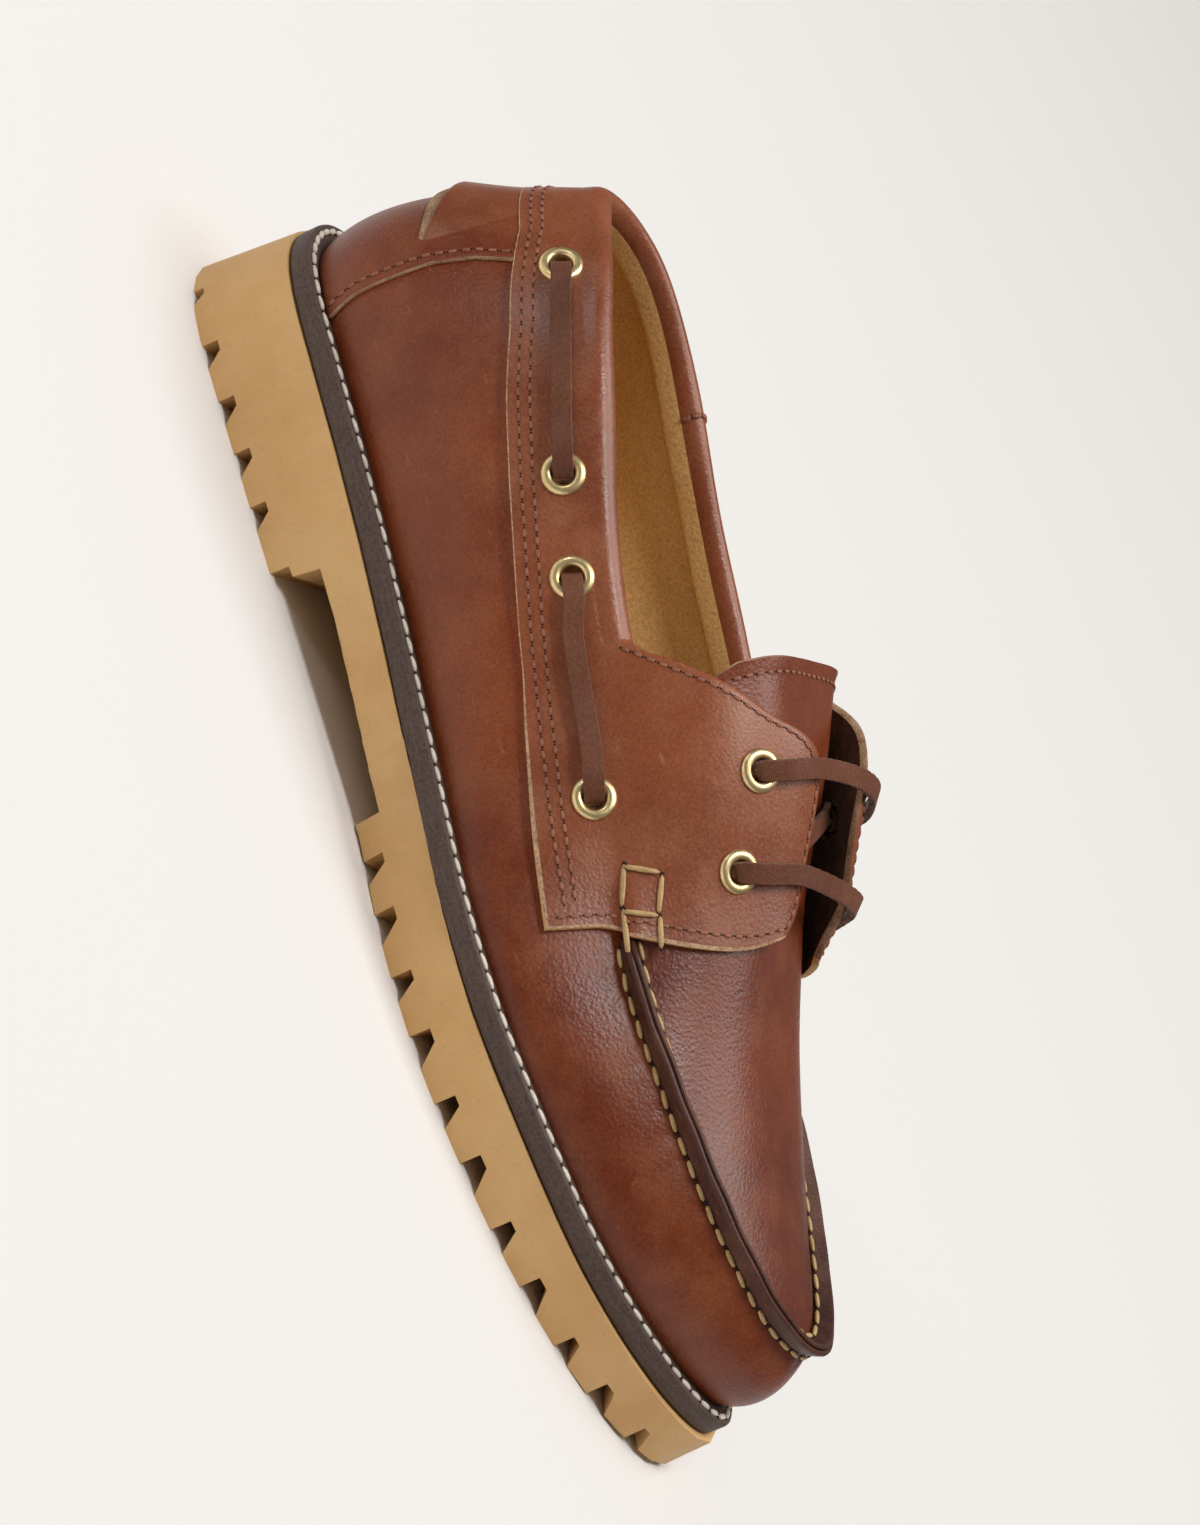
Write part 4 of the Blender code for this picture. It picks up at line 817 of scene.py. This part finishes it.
# %% Where the eyelets sit
EYELETS = {
    # rim x and share of each, on either side
    "lateral": {
        "heel": (35.3, 0.903), "waist_back": (87.7, 0.873), "waist_front": (111.8, 0.876),
        "instep": (165.7, 0.768), "flap_high": (171.1, 1.389), "flap_low": (191.6, 1.373),
    },
    "medial": {
        "heel": (35.0, 0.905), "waist_back": (86.0, 0.868), "waist_front": (111.5, 0.875),
        "instep": (165.0, 0.780), "flap_high": (171.5, 1.330), "flap_low": (192.0, 1.240),
    },
}


def eyelet_spot(side, key):
    x, share = EYELETS[side][key]
    return float(station_at(x, side)), share


def saddle_normal(station, share):
    return normal_of(on_saddle, np.atleast_1d(station), np.atleast_1d(share), 1.5, 0.03)


eyelet_places = {}
for side, places in EYELETS.items():
    for key in places:
        station, share = eyelet_spot(side, key)
        point = on_saddle(np.array([station]), np.array([share]))[0]
        eyelet_places[side, key] = point, saddle_normal(station, share)[0]

# %% Lay the saddle with its holes
SADDLE_GRID = 560, 84
LINING_FROM = 0.935     # share of the strap's width where the lining takes over, inside the roll
holes = [Vector(world(point)) for point, _ in eyelet_places.values()]
# the flaps' undersides take the flesh side, whose dark is partly the suede's own and partly painted shade
materials = [sheen_saddle_hide, raw_edge, lit_lining_hide, flesh_side_and_shade]
build = {"thickness": 1.8, "inner": 3, "holes": holes, "bevel": 0.2}
saddle = lay("saddle", *SADDLE_GRID, saddle_place, materials, ["saddle", "collar_roll"], **build)
map_spots = saddle.data.uv_layers["UVMap"].data
for face in saddle.data.polygons:
    u, v = (sum(map_spots[loop].uv[axis] for loop in face.loop_indices) / face.loop_total for axis in (0, 1))
    if v < 1 / SADDLE_GRID[1] or abs(u - 0.5) > 0.5 - 1 / SADDLE_GRID[0]:
        face.material_index = 1
    elif FLAP_PART < u < 1 - FLAP_PART and v > LINING_FROM:
        face.material_index = 2
print("saddle points:", len(saddle.data.vertices))

# %% Spin the eyelets
EYELET = (
    # radius and height of the half section, from the barrel's foot over the dome to the flange's edge
    (2.55, -2.6), (2.62, -0.6), (2.75, 0.45), (3.1, 0.95), (3.6, 1.15), (4.2, 1.15), (4.8, 0.95), (5.2, 0.5),
    (5.38, 0.0), (5.2, -0.3),
)


def stand_on(point, away):
    """The matrix that puts a piece made round the Z axis onto a point of the shoe."""
    turn = Vector(away).to_track_quat("Z", "Y").to_matrix().to_4x4()
    return Matrix.Translation(world(point)) @ turn


rings = bmesh.new()
hole_shade_discs = bmesh.new()
for point, away in eyelet_places.values():
    first = [rings.verts.new((radius * 0.001, 0, height * 0.001)) for radius, height in EYELET]
    edges = [rings.edges.new(pair) for pair in zip(first, first[1:])]
    before = set(rings.verts) - set(first)
    spun = {"cent": (0, 0, 0), "axis": (0, 0, 1), "angle": math.tau, "steps": 36, "use_merge": True}
    bmesh.ops.spin(rings, geom=first + edges, **spun)
    made = [vert for vert in rings.verts if vert not in before]
    bmesh.ops.transform(rings, matrix=stand_on(point, away), verts=made)
    # a near-black disc of painted shade down each eyelet's barrel, where the hole is only in shade
    down_the_hole = stand_on(point, away) @ Matrix.Translation((0, 0, -0.0022))
    bmesh.ops.create_circle(hole_shade_discs, cap_ends=True, segments=16, radius=0.0027, matrix=down_the_hole)
bmesh.ops.remove_doubles(rings, verts=rings.verts, dist=1e-6)
bmesh.ops.recalc_face_normals(rings, faces=rings.faces)
finish_mesh("eyelets", rings, [brass], [name for name in cad_nodes if name.startswith("eyelet")])
finish_mesh("eyelet_hole_shades", hole_shade_discs, [painted_shade])
print("eyelets:", len(eyelet_places))

# %% [markdown]
# ## Heel: counter and lip
#
# A stiff counter covers the back of the heel. Its front edge curves down to the welt, raw and a little
# frayed. Over it, under the saddle, a short lip of leather is slit and raised so that the collar lace can
# pass round the heel: the lip's thick, pale flesh side faces down. It is laid as a sheet that stands away at
# the bottom and closes up at the top.

# %% Counter and lip
COUNTER_REACH = (
    # share of the counter's height, and how far round the heel its front edge is there
    (0.0, 50.5), (0.2, 48.5), (0.6, 47.3), (0.8, 49.0), (1.0, 53.5),
)
LIP_REACH = 41.0        # how far round the heel the lip goes, to either side
TUCK = 0.012            # share of a rib that the counter goes up under the saddle


def counter_spot(u, v):
    station = (2 * u - 1) * look_up(COUNTER_REACH, v)
    return station, LOW + (low_share(station) + TUCK - LOW) * v


def on_counter(station, share, above=1.5):
    skin = above + 0.15 * waves(station, share * RIB, 23, 11.0)
    return form(station, share) + normal_of(form, station, share) * skin[:, None]


def counter_place(u, v):
    return on_counter(*counter_spot(u, v))


def over_counter(turn, heights, lift):
    """A point over the counter: how far round the heel (-1 to 1), at what height, how far out."""
    station = turn * LIP_REACH
    rate = np.interp(station, edge_stations, edge_rates)
    share = low_share(station) - (look_up(SADDLE_LOW, abs(read_rib(station)[:, 0])) - heights) / rate
    return form(station, share) + normal_of(form, station, share) * lift[:, None]


def lip_place(u, v):
    """The lip: its lower edge, about 65 mm up, stands away, and its top closes up under the saddle."""
    turn = 2 * u - 1
    low = 65.0 - 8.5 * turn**2
    lift = 1.2 + (0.7 + 2.3 * (1 - v) ** 1.6) * np.clip(1 - turn**4, 0, 1)
    return over_counter(turn, low + (79.5 - low) * v, lift)


def flesh_place(u, v):
    """The flesh side that shows below the lip: a low strip that bulges out between its two edges."""
    turn = 2 * u - 1
    low = 60.0 - 4.4 * turn**2
    high = 66.5 - 9.0 * turn**2
    lift = 1.2 + 1.9 * np.sin(np.pi * (0.2 + 0.5 * v)) * np.clip(1 - turn**4, 0, 1)
    return over_counter(turn, low + (high - low) * v, lift)


materials = [chestnut, raw_edge]
counter = lay("counter", 110, 40, counter_place, materials, "heel_counter", thickness=1.4, bevel=0.2)
# the lip's hide carries the saddle's painted sheen
lay("heel_lip", 80, 16, lip_place, [sheen_saddle_hide, raw_edge], "heel_loop", thickness=1.8, bevel=0.3)
lay("heel_lip_flesh", 80, 8, flesh_place, [suede, suede], "heel_loop", thickness=1.2, bevel=0.3)
print("counter points:", len(counter.data.vertices))

# %% [markdown]
# ## The standing seam
#
# Wall and apron meet edge to edge, both turned up and sewn through: two cut edges side by side with a fine
# groove between them. The ridge is a closed strip with that section, carried along the top line.

# %% Standing seam
SEAM_SECTION = (
    # across (inner side positive) and up from the crease
    (-2.3, -0.9), (-1.9, 1.6), (-1.65, 3.4), (-1.5, 4.5), (-1.1, 4.9), (-0.5, 4.9), (-0.12, 4.5), (0.0, 3.7),
    (0.12, 4.4), (0.5, 4.75), (1.0, 4.7), (1.4, 4.3), (1.6, 3.2), (1.9, 1.4), (2.3, -0.7), (0.0, -1.4),
)


def seam_frame(station):
    """The crease, and the directions across it (inward) and up from it."""
    crease = form(station, 1.0)
    ahead = unit(form(station + 0.8, 1.0) - form(station - 0.8, 1.0))
    x, y = (crease[:, :2] - outward(station)[:, :2] * 2.4).T
    start, end = (read_rib(station_at(x, side, 7))[:, 8] for side in SIDES)
    on_apron = crown_point(x, np.clip((y - start) / (end - start), 0, 1))
    across = unit(on_apron - form(station, 0.93))
    return crease, across, unit(np.cross(ahead, across))


def round_section(section, v):
    """The two columns of a closed section, read at shares of the way round its corners."""
    corners = [*section, section[0]]
    return read_rows(v * len(section), np.arange(len(corners)), corners).T


def seam_place(u, v):
    station = SEAM_ENDS[0] + (SEAM_ENDS[1] - SEAM_ENDS[0]) * u
    crease, across, rise = seam_frame(station)
    side, up = round_section(SEAM_SECTION, v)
    sway = 0.12 * np.sin(station / 3.1) * np.clip(up / 4, 0, 1)
    fade = np.clip(0.3 + np.minimum(u, 1 - u) * 32, 0, 1)
    return crease + across * (side + sway)[:, None] + rise * (up * fade)[:, None]


seam = lay("standing_seam", 320, 48, seam_place, [seam_hide, brown_edge], "moc_seam", closed=True)
print("seam points:", len(seam.data.vertices))

# %% [markdown]
# ## Welt and gum sole
#
# The welt is a strip round the shoe with a soft outer edge and a shallow stitch channel on top. It is a grid
# laid round the rim and closed on itself in both directions. The gum sole keeps the CAD solid's shape: a copy
# of its mesh is merged, its flat faces are joined up, and a Bevel rounds every lug the way moulded rubber is
# rounded.

# %% Welt
WELT_SECTION = (
    # inward from the rim, and up from the welt's underside
    (0.9, 0.05), (0.25, 0.25), (0.0, 0.8), (0.0, 4.6), (0.2, 5.25), (0.75, 5.55), (1.3, 5.5), (1.55, 5.05),
    (2.9, 5.0), (3.3, 5.5), (5.0, 5.55), (8.0, 5.55), (13.0, 5.5), (16.0, 5.3), (16.5, 3.0), (16.0, 0.2),
    (8.0, 0.05),
)


def on_rim(station, inward, up=0.0):
    """A point of the welt, inward from its rim and up from its underside."""
    plan = read_rib(station)[:, :2] - outward(station)[:, :2] * np.reshape(inward, (-1, 1))
    return np.column_stack((plan, look_up(WELT_LINE, plan[:, 0]) + GAP + up))


def welt_place(u, v):
    return on_rim(u * ROUND, *round_section(WELT_SECTION, v))


welt = lay("welt_strip", 480, 2 * len(WELT_SECTION), welt_place, [welt_board], "welt", "welt", closed=True)
print("welt points:", len(welt.data.vertices))

# %% Gum sole
sole = bmesh.new()
sole.from_mesh(frame["nodes"]["outsole"].data)
bmesh.ops.remove_doubles(sole, verts=sole.verts, dist=1e-5)
bmesh.ops.dissolve_limit(sole, angle_limit=math.radians(0.2), verts=sole.verts, edges=sole.edges)
gum_sole = finish_mesh("gum_sole", sole, [gum], "outsole")
gum_sole.data.set_sharp_from_angle(angle=math.radians(30))
rounded = gum_sole.modifiers.new("moulded edges", "BEVEL")
rounded.width = 0.0007
rounded.segments = 3
rounded.limit_method = "ANGLE"
rounded.angle_limit = math.radians(32)
rounded.harden_normals = True
print("sole faces:", len(gum_sole.data.polygons))

# %% [markdown]
# ## Inside: sock and heel grip
#
# The footbed is covered in one tan sock leather, with small punched holes in arcs at the arch and across the
# heel, each drawn as a small dark disc of painted shade. Inside the back of the collar a dark strip of suede
# keeps the heel from slipping.

# %% Sock
SOCK_START, SOCK_LENGTH = 13.0, 274.0
SOCK_INSET = 3.4        # in from the form's foot
SOCK_HEIGHT = 4.2       # of the edge above the welt
DISH = 1.5              # how much lower the middle lies than the edge


def sock_spot(x, across):
    """A point of the footbed at x, across from the outer side (0) to the inner side (1)."""
    edges = []
    for side in SIDES:
        station = station_at(x, side)
        row = read_rib(station)
        edges.append(row[:, :2] - (row[:, 2:3] + SOCK_INSET) * outward(station)[:, :2])
    plan = edges[0] + (edges[1] - edges[0]) * np.reshape(across, (-1, 1))
    dish = DISH * (1 - (2 * np.ravel(across) - 1) ** 2)
    return np.column_stack((plan, welt_top(plan[:, 0]) + GAP + SOCK_HEIGHT - dish))


def sock_place(u, v):
    return sock_spot(SOCK_START + SOCK_LENGTH * (1 - np.cos(u * math.pi)) / 2, v)


# the sock's tan is paler than the hide's own, as painted light for the light that falls into the shoe
lay("sock", 130, 40, sock_place, [lit_sock_hide, brown_edge], "insole", "sock_leather", thickness=1.0)
spots = [(38.0 + 6 * math.cos(turn), 0.5 + 0.30 * math.sin(turn)) for turn in np.linspace(-1.2, 1.2, 7)]
for arc in range(5):
    for step in range(9 - arc):
        bend = 0.010 * abs(step - 4 + arc / 2) ** 1.4
        spots.append((96.0 + 6.6 * step + 2.2 * arc, 0.90 - 0.055 * arc - bend))
# each punched hole is a small near-black disc of painted shade lying on the sock
pinhole_shades = bmesh.new()
for x, across in spots:
    centre = sock_spot(np.array([x]), across)[0] + (0, 0, 0.06)
    place = Matrix.Translation(world(centre))
    bmesh.ops.create_circle(pinhole_shades, cap_ends=True, segments=8, radius=0.00055, matrix=place)
finish_mesh("sock_pinhole_shades", pinhole_shades, [painted_shade])
print("pinholes:", len(spots))

# %% Heel grip
def grip_place(u, v):
    """On the inner face of the lining, round the back of the heel."""
    station, share = (2 * u - 1) * 27.0, 0.50 + 0.36 * v
    return form(station, share) - normal_of(form, station, share) * 2.35


lay("heel_grip", 40, 14, grip_place, [heel_grip, heel_grip], thickness=0.5, inward=True)

# %% [markdown]
# ## Laces
#
# The lace is a flat thong of oiled hide, 4.9 mm by 1.7 mm, smooth on its faces and grainy on its cut edges.
# Eight points make the section, a rectangle with its corners cut off, and it is extruded ring by ring along a
# smooth route: out of one eyelet's hole, over its flange, along the leather, and down into the next.

# %% A thong along a route
THONG = (
    # the section's points, across the lace and up from its middle
    (-2.45, 0.57), (-2.254, 0.855), (2.254, 0.855), (2.45, 0.57),
    (2.45, -0.57), (2.254, -0.855), (-2.254, -0.855), (-2.45, -0.57),
)


def thong(name, points, aways, steps=70):
    """Sweeps the thong's section along the points; aways say which way its upper face looks."""
    points = np.array(points)
    lengths = lengths_along(points)
    fine = np.linspace(0, lengths[-1], steps)
    route = spline(lengths, points)(fine)
    faces_up = read_rows(fine, lengths, aways)
    mesh = bmesh.new()
    loops = [[mesh.verts.new((0, 0, 0)) for _ in THONG]]
    edges = list(mesh.faces.new(loops[0]).edges)
    for _ in range(steps - 1):
        grown = bmesh.ops.extrude_edge_only(mesh, edges=edges)["geom"]
        edges = [item for item in grown if isinstance(item, bmesh.types.BMEdge)]
        edges = [edge for edge in edges if not set(edge.verts) & set(loops[-1])]
        new = {vert for edge in edges for vert in edge.verts}
        following = [new & {edge.other_vert(vert) for edge in vert.link_edges} for vert in loops[-1]]
        loops.append([verts.pop() for verts in following])
    mesh.faces.new(loops[-1][::-1])
    for number, loop in enumerate(loops):
        ahead = unit(route[min(number + 1, steps - 1)] - route[max(number - 1, 0)])
        up = unit(faces_up[number] - ahead * (faces_up[number] @ ahead))
        side = np.cross(ahead, up) * (1 + 0.03 * math.sin(number * 1.7))
        for vert, (out, rise) in zip(loop, THONG):
            vert.co = world(route[number] + side * out + up * rise)
    bmesh.ops.recalc_face_normals(mesh, faces=mesh.faces)
    centre = world(route)
    for face in mesh.faces:
        near = np.argmin(np.linalg.norm(centre - np.array(face.calc_center_median()), axis=1))
        face.material_index = int(abs(np.array(face.normal) @ unit(faces_up[near])) < 0.35)
    made = finish_mesh(name, mesh, [lace_hide, lace_edge], name)
    made.data.set_sharp_from_angle(angle=math.radians(32))


# %% Side runs
DIVE = ((-2.4, -0.9), (0.2, 0.1), (2.1, 2.9), (2.75, 5.2))      # up from the eyelet, and along the lace


def dive(point, away, toward):
    """Where the lace comes up out of an eyelet: deep in the hole, on its lip and beyond the flange."""
    toward = unit(toward - away * (toward @ away))
    return [point + away * up + toward * out for up, out in DIVE]


def side_run(side, start, end, bow):
    """The lace between two eyelets of one side, bowed down a little in its middle."""
    (point, away), (last_point, last_away) = (eyelet_places[side, key] for key in (start, end))
    first, last = (np.array(eyelet_spot(side, key)) for key in (start, end))
    shares = np.linspace(0.22, 0.78, 5)
    middle = 1 - (2 * shares - 1) ** 2
    stations, heights = (first + (last - first) * shares[:, None]).T
    between = on_saddle(stations, heights - bow * middle, 1.5 + 0.9 * middle)
    lead, tail = dive(point, away, last_point - point), dive(last_point, last_away, point - last_point)
    aways = [away] * 4 + [*saddle_normal(stations, heights)] + [last_away] * 4
    thong(f"side_lace_{side}_{start}", [*lead, *between, *tail[::-1]], aways)


for side, bow in (("lateral", 0.012), ("medial", 0.02)):
    side_run(side, "heel", "waist_back", bow * 0.4)
    side_run(side, "waist_front", "instep", bow)

# %% Front bars and the crossing
FLAP_TOPS = {"lateral": 1.84, "medial": 1.60}       # share at which a bar passes over each flap's inner edge
BAR_RUNS = {"flap_high": (-0.8, 3.8), "flap_low": (1.2, 1.2)}   # along the form from each eyelet to there
CLIMB = np.array([0.55, 1.0])                       # shares of the way up where the bar has a knot
TILT = np.array([0.35, 0.0, 0.25])                  # leans the bars' faces forward and up


def half_bar(side, key, run):
    """Knots of a front bar from one eyelet up to the flap's inner edge, with the way its face looks."""
    (point, away), (station, share) = eyelet_places[side, key], eyelet_spot(side, key)
    stations, heights = station + run * CLIMB, share + (FLAP_TOPS[side] - share) * CLIMB
    knots = on_saddle(stations, heights, np.array([2.9, 2.1]))
    aways = [away] * 4 + [*saddle_normal(stations, heights)]
    return [*dive(point, away, knots[-1] - point), *knots], [way + TILT for way in aways]


for key, runs in BAR_RUNS.items():
    (points, aways), (far_points, far_aways) = (half_bar(side, key, run) for side, run in zip(SIDES, runs))
    thong(f"front_lace_{key}", points + far_points[::-1], aways + far_aways[::-1], 90)
cross_x, cross_across = np.linspace(172.0, 187.5, 9), np.linspace(0.78, 0.33, 9)
cross_up = normal_of(crown_point, cross_x, cross_across)
thong("lace_crossing", crown_point(cross_x, cross_across) + cross_up * 1.6, cross_up, 30)

# %% [markdown]
# ## Thread
#
# Hand-sewn moccasins show their thread. Each stitch is one small bead of thread: a low round body with blunt
# ends, stretched along the seam and half sunk in the leather, with a flat dark dot of painted shade for the
# needle hole at each end. Rows are given in the form's own numbers, so a row keeps its distance from the edge
# it follows.

# %% Sew a row
BLUNT = 2.9             # 2 gives an egg; more gives a stitch with fuller ends
thread_rows = {"brown_thread": [], "waxed_thread": [], "white_thread": [], "needle_hole_shade": []}


def walk(points, pitch):
    """Points at equal steps along a path, the direction of travel and the share of the way."""
    lengths = lengths_along(points)
    count = max(int(lengths[-1] / pitch), 1)
    at = (np.arange(count) + 0.5) * lengths[-1] / count
    ahead = read_rows(at + 0.3, lengths, points) - read_rows(at - 0.3, lengths, points)
    return read_rows(at, lengths, points), unit(ahead), at / lengths[-1]


def keep_row(kind, row):
    """Puts a finished row aside as a plain mesh, because one large bmesh takes new beads slowly."""
    thread_rows[kind].append(mesh_data(f"{kind}_row", row))


def sew(kind, points, aways, pitch, length, width, height, slant=0.0, hole=0.0):
    """Adds a row of stitches of one kind of thread along the points, with a dot of painted shade for each
    needle hole when a hole size is given, and says how many.
    """
    beads, needle_hole_shades = bmesh.new(), bmesh.new()
    spots, directions, parts = walk(points, pitch)
    ups = read_rows(parts, np.linspace(0, 1, len(points)), aways)
    dice = random.Random(len(spots))
    for spot, ahead, up in zip(spots, directions, ups):
        away = unit(up - ahead * (up @ ahead))
        turn = slant + dice.uniform(-0.05, 0.05)
        along = ahead * math.cos(turn) + np.cross(away, ahead) * math.sin(turn)
        base = Matrix((along, np.cross(away, along), away)).transposed().to_4x4()
        base.translation = world(spot)
        size = Matrix.Diagonal((length * dice.uniform(0.00095, 0.00105), width * 0.001, height * 0.001, 1))
        bead = bmesh.ops.create_uvsphere(beads, u_segments=8, v_segments=6, radius=0.5)["verts"]
        for vert in bead:
            vert.co *= 0.5 / sum(abs(value) ** BLUNT for value in vert.co) ** (1 / BLUNT)
        bmesh.ops.transform(beads, matrix=base @ size, verts=bead)
        if not hole:
            continue
        # a flat near-black dot of painted shade at each end stands for the needle hole
        for end in (-0.5, 0.5):
            base.translation = world(spot + along * end * (length + 0.3))
            flat = base @ Matrix.Diagonal((hole * 0.001, hole * 0.001, 0.00024, 1))
            bmesh.ops.create_uvsphere(needle_hole_shades, u_segments=6, v_segments=4, radius=0.5, matrix=flat)
    keep_row(kind, beads)
    keep_row("needle_hole_shade", needle_hole_shades)
    return len(spots)


def row_on(surface, station, share, above=0.0):
    """Points and directions of a seam on one of the surfaces above."""
    station, share = paired(station, share)
    return surface(station, share, above), normal_of(surface, station, share, 1.0, 0.02)


# %% Saddle, flaps, counter and tongue
FINE = {"pitch": 3.1, "length": 2.15, "width": 0.95, "height": 0.62, "hole": 0.55}
FLAP_LENGTH = 66.0      # of a flap along the shoe, to keep a row so many millimetres from its front edge


def sew_fine(surface, station, share, above=0.05):
    return sew("brown_thread", *row_on(surface, station, share, above), **FINE)


count = 0
band = np.linspace(*NOTCHES, 400)
for above in (2.7, 5.4):
    count += sew_fine(on_saddle, band, low_share(band, above))
    for side in SIDES:
        along = flap_spot(side, np.linspace(0, 1 - 3.4 / FLAP_LENGTH, 120), 0)[:, 0]
        count += sew_fine(on_saddle, along, low_share(along, above))
front, inner = 1 - 2.7 / FLAP_LENGTH, 1 - 2.9 / RIB
for side in SIDES:
    rows = np.concatenate((np.full(100, front), np.linspace(front, 0.02, 100)))
    columns = np.concatenate((np.linspace(0.05, inner, 100), np.full(100, inner)))
    count += sew_fine(on_saddle, *flap_spot(side, rows, columns).T)
for turn in (-1, 1):
    station, share = counter_spot(0.5 + 0.5 * turn, np.linspace(0.02, 0.98, 60))
    count += sew_fine(on_counter, station - turn * 2.4, share, 1.55)
across = np.linspace(0.135, 0.835, 80)
tongue_x = np.full(80, TONGUE_END + 3.2)
away = normal_of(crown_point, tongue_x, across)
count += sew("brown_thread", crown_point(tongue_x, across) + away * 1.12, away, **FINE)
join = collar_point(np.full(24, station_at(70.0, "medial")), np.linspace(0.25, 0.80, 24))
count += sew("brown_thread", join, join - join.mean(axis=0) + (0, 0, 2.0), 2.4, 2.9, 1.6, 1.2)
print("fine stitches:", count)

# %% Welt and standing seam
WELT_STITCH = {"pitch": 4.7, "length": 4.2, "width": 1.55, "height": 1.35, "slant": 0.10, "hole": 1.0}
SEAM_STITCH = {"pitch": 5.6, "length": 4.7, "width": 1.25, "height": 1.0, "hole": 1.0}
channel = on_rim(np.linspace(0, ROUND, 900), 2.2, 5.4)
count = sew("white_thread", channel, np.tile((0, 0, 1.0), (900, 1)), **WELT_STITCH)
crease, over, rise = seam_frame(np.linspace(SEAM_ENDS[0] + 1, SEAM_ENDS[1] - 1, 700))
for side, out, up in ((-1, 2.55, 0.2), (1, 2.75, 0.4)):
    points = crease + over * side * out + rise * up
    count += sew("waxed_thread", points, rise + over * side, slant=side * 0.08, **SEAM_STITCH)
print("bold stitches:", count)

# %% The keeper at the saddle's front
KEEPER_RUNGS = {"lateral": (187.5, 196.8, 204.6), "medial": (183.0, 192.0, 200.0)}      # rim x of the rungs
KEEPER_RAILS = 0.960, 1.085     # shares of the two rails
KEEPER_LEAN = 5.2, 4.2, 0.0     # how far the lower rail's knots sit behind the upper rail's
SINGLE = 60.0                   # a pitch longer than any of these rows, so that each is a single stitch


def long_stitch(station, share, above, length, hole=0.0):
    sew("waxed_thread", *row_on(on_saddle, station, share, above), SINGLE, length, 1.35, 1.2, hole=hole)


for side, rungs in KEEPER_RUNGS.items():
    upper = station_at(np.array(rungs), side)
    lower = upper + np.array(KEEPER_LEAN) * (-1 if side == "lateral" else 1)
    for share, knots in zip(KEEPER_RAILS, (lower, upper)):
        for first, last in zip(knots, knots[1:]):
            long_stitch(np.linspace(first, last, 30), share, 0.25, abs(last - first) - 0.2, 1.1)
    for low, high in zip(lower[:2], upper[:2]):
        long_stitch(np.linspace(low, high, 20), np.linspace(*KEEPER_RAILS, 20), 0.45, 8.4)

# %% Turn each kind of thread into one piece
# the needle-hole dots take the near-black painted shade
for (kind, rows), finish in zip(thread_rows.items(), (brown_thread, waxed_thread, white_thread, painted_shade)):
    gathered = bmesh.new()
    for row in rows:
        gathered.from_mesh(row)
        bpy.data.meshes.remove(row)
    print(kind, "faces:", len(gathered.faces))
    finish_mesh(f"{kind}_stitches", gathered, [finish])

# %% [markdown]
# ## Floor, light and camera
#
# The shoe stands on a wide pale floor. A soft key light high above the outer side shapes the wall and the
# laces, and a larger one overhead gives the broad sheen on the collar, the flaps and the toe. The floor
# throws light back at the wall and the sole, and a small light on the heel's side lifts the leather's
# redness. The world stays dim above, so that the leather keeps its depth. The camera looks down a long lens
# from the outer side, rolled so that the toe points down.

# %% The pale floor
plane = bmesh.new()
bmesh.ops.create_grid(plane, x_segments=1, y_segments=1, size=9.0)
floor = new_object("floor", mesh_data("floor", plane))
pale = {"Base_Color": (0.828, 0.812, 0.797, 1), "Specular_IOR_Level": 0.1}
floor.data.materials.append(plain_material("pale_paper", 0.9, **pale)[0])

# %% Soft light
world_light = bpy.data.worlds.new("pale_world")
bpy.context.scene.world = world_light
world_light.use_nodes = True
sky = world_light.node_tree
height = add(sky, "SeparateXYZ", Vector=add(sky, "TexCoord").outputs["Generated"]).outputs["Z"]
sky.links.new(ramp(sky, height, 0.0, 0.5, 0.10, 0.22), sky.nodes["Background"].inputs["Strength"])
sky.nodes["Background"].inputs["Color"].default_value = (1.0, 0.985, 0.965, 1)


def soft_light(name, place, aim, size, watts):
    data = bpy.data.lights.new(name, "AREA")
    data.shape = "RECTANGLE"
    data.size, data.size_y = size
    data.energy = watts
    data.color = (1.0, 0.985, 0.96)
    made = new_object(name, data)
    made.location = place
    made.rotation_mode = "QUATERNION"
    made.rotation_quaternion = (Vector(place) - Vector(aim)).to_track_quat("Z", "Y")


soft_light("key", (-0.15, -1.3, 3.7), (0.0, 0.0, 0.05), (1.1, 0.8), 66.0)
soft_light("overhead", (0.2, 1.0, 4.2), (0.2, 0.6, 0.05), (2.6, 2.4), 98.0)
soft_light("heel_side", (-1.2, -1.0, 0.6), (0.0, 0.0, 0.05), (0.35, 0.35), 2.5)

# %% Camera
EYE, TARGET = (471.3, -1381.1, 469.9), (146.0, -3.5, 48.0)      # millimetres on the shoe
RIGHT = (0.3442, 0.3154, 0.8843)                                # what points right in the picture
LENS = 148.05                                                   # for a picture 36 mm high
camera_data = bpy.data.cameras.new("camera")
camera = new_object("camera", camera_data)
bpy.context.scene.camera = camera
eye = Vector(world(EYE))
back = (eye - Vector(world(TARGET))).normalized()
right = Vector(RIGHT)
right = (right - back * right.dot(back)).normalized()
up = back.cross(right)
camera.matrix_world = Matrix((right, up, back)).transposed().to_4x4()
camera.location = eye
camera_data.sensor_fit = "VERTICAL"
camera_data.sensor_height = 36.0
camera_data.lens = LENS
camera_data.dof.use_dof = False
camera_data.clip_end = 20.0
bpy.context.scene.view_settings.view_transform = "Standard"
print("camera", tuple(round(value, 3) for value in eye), "lens", camera_data.lens)
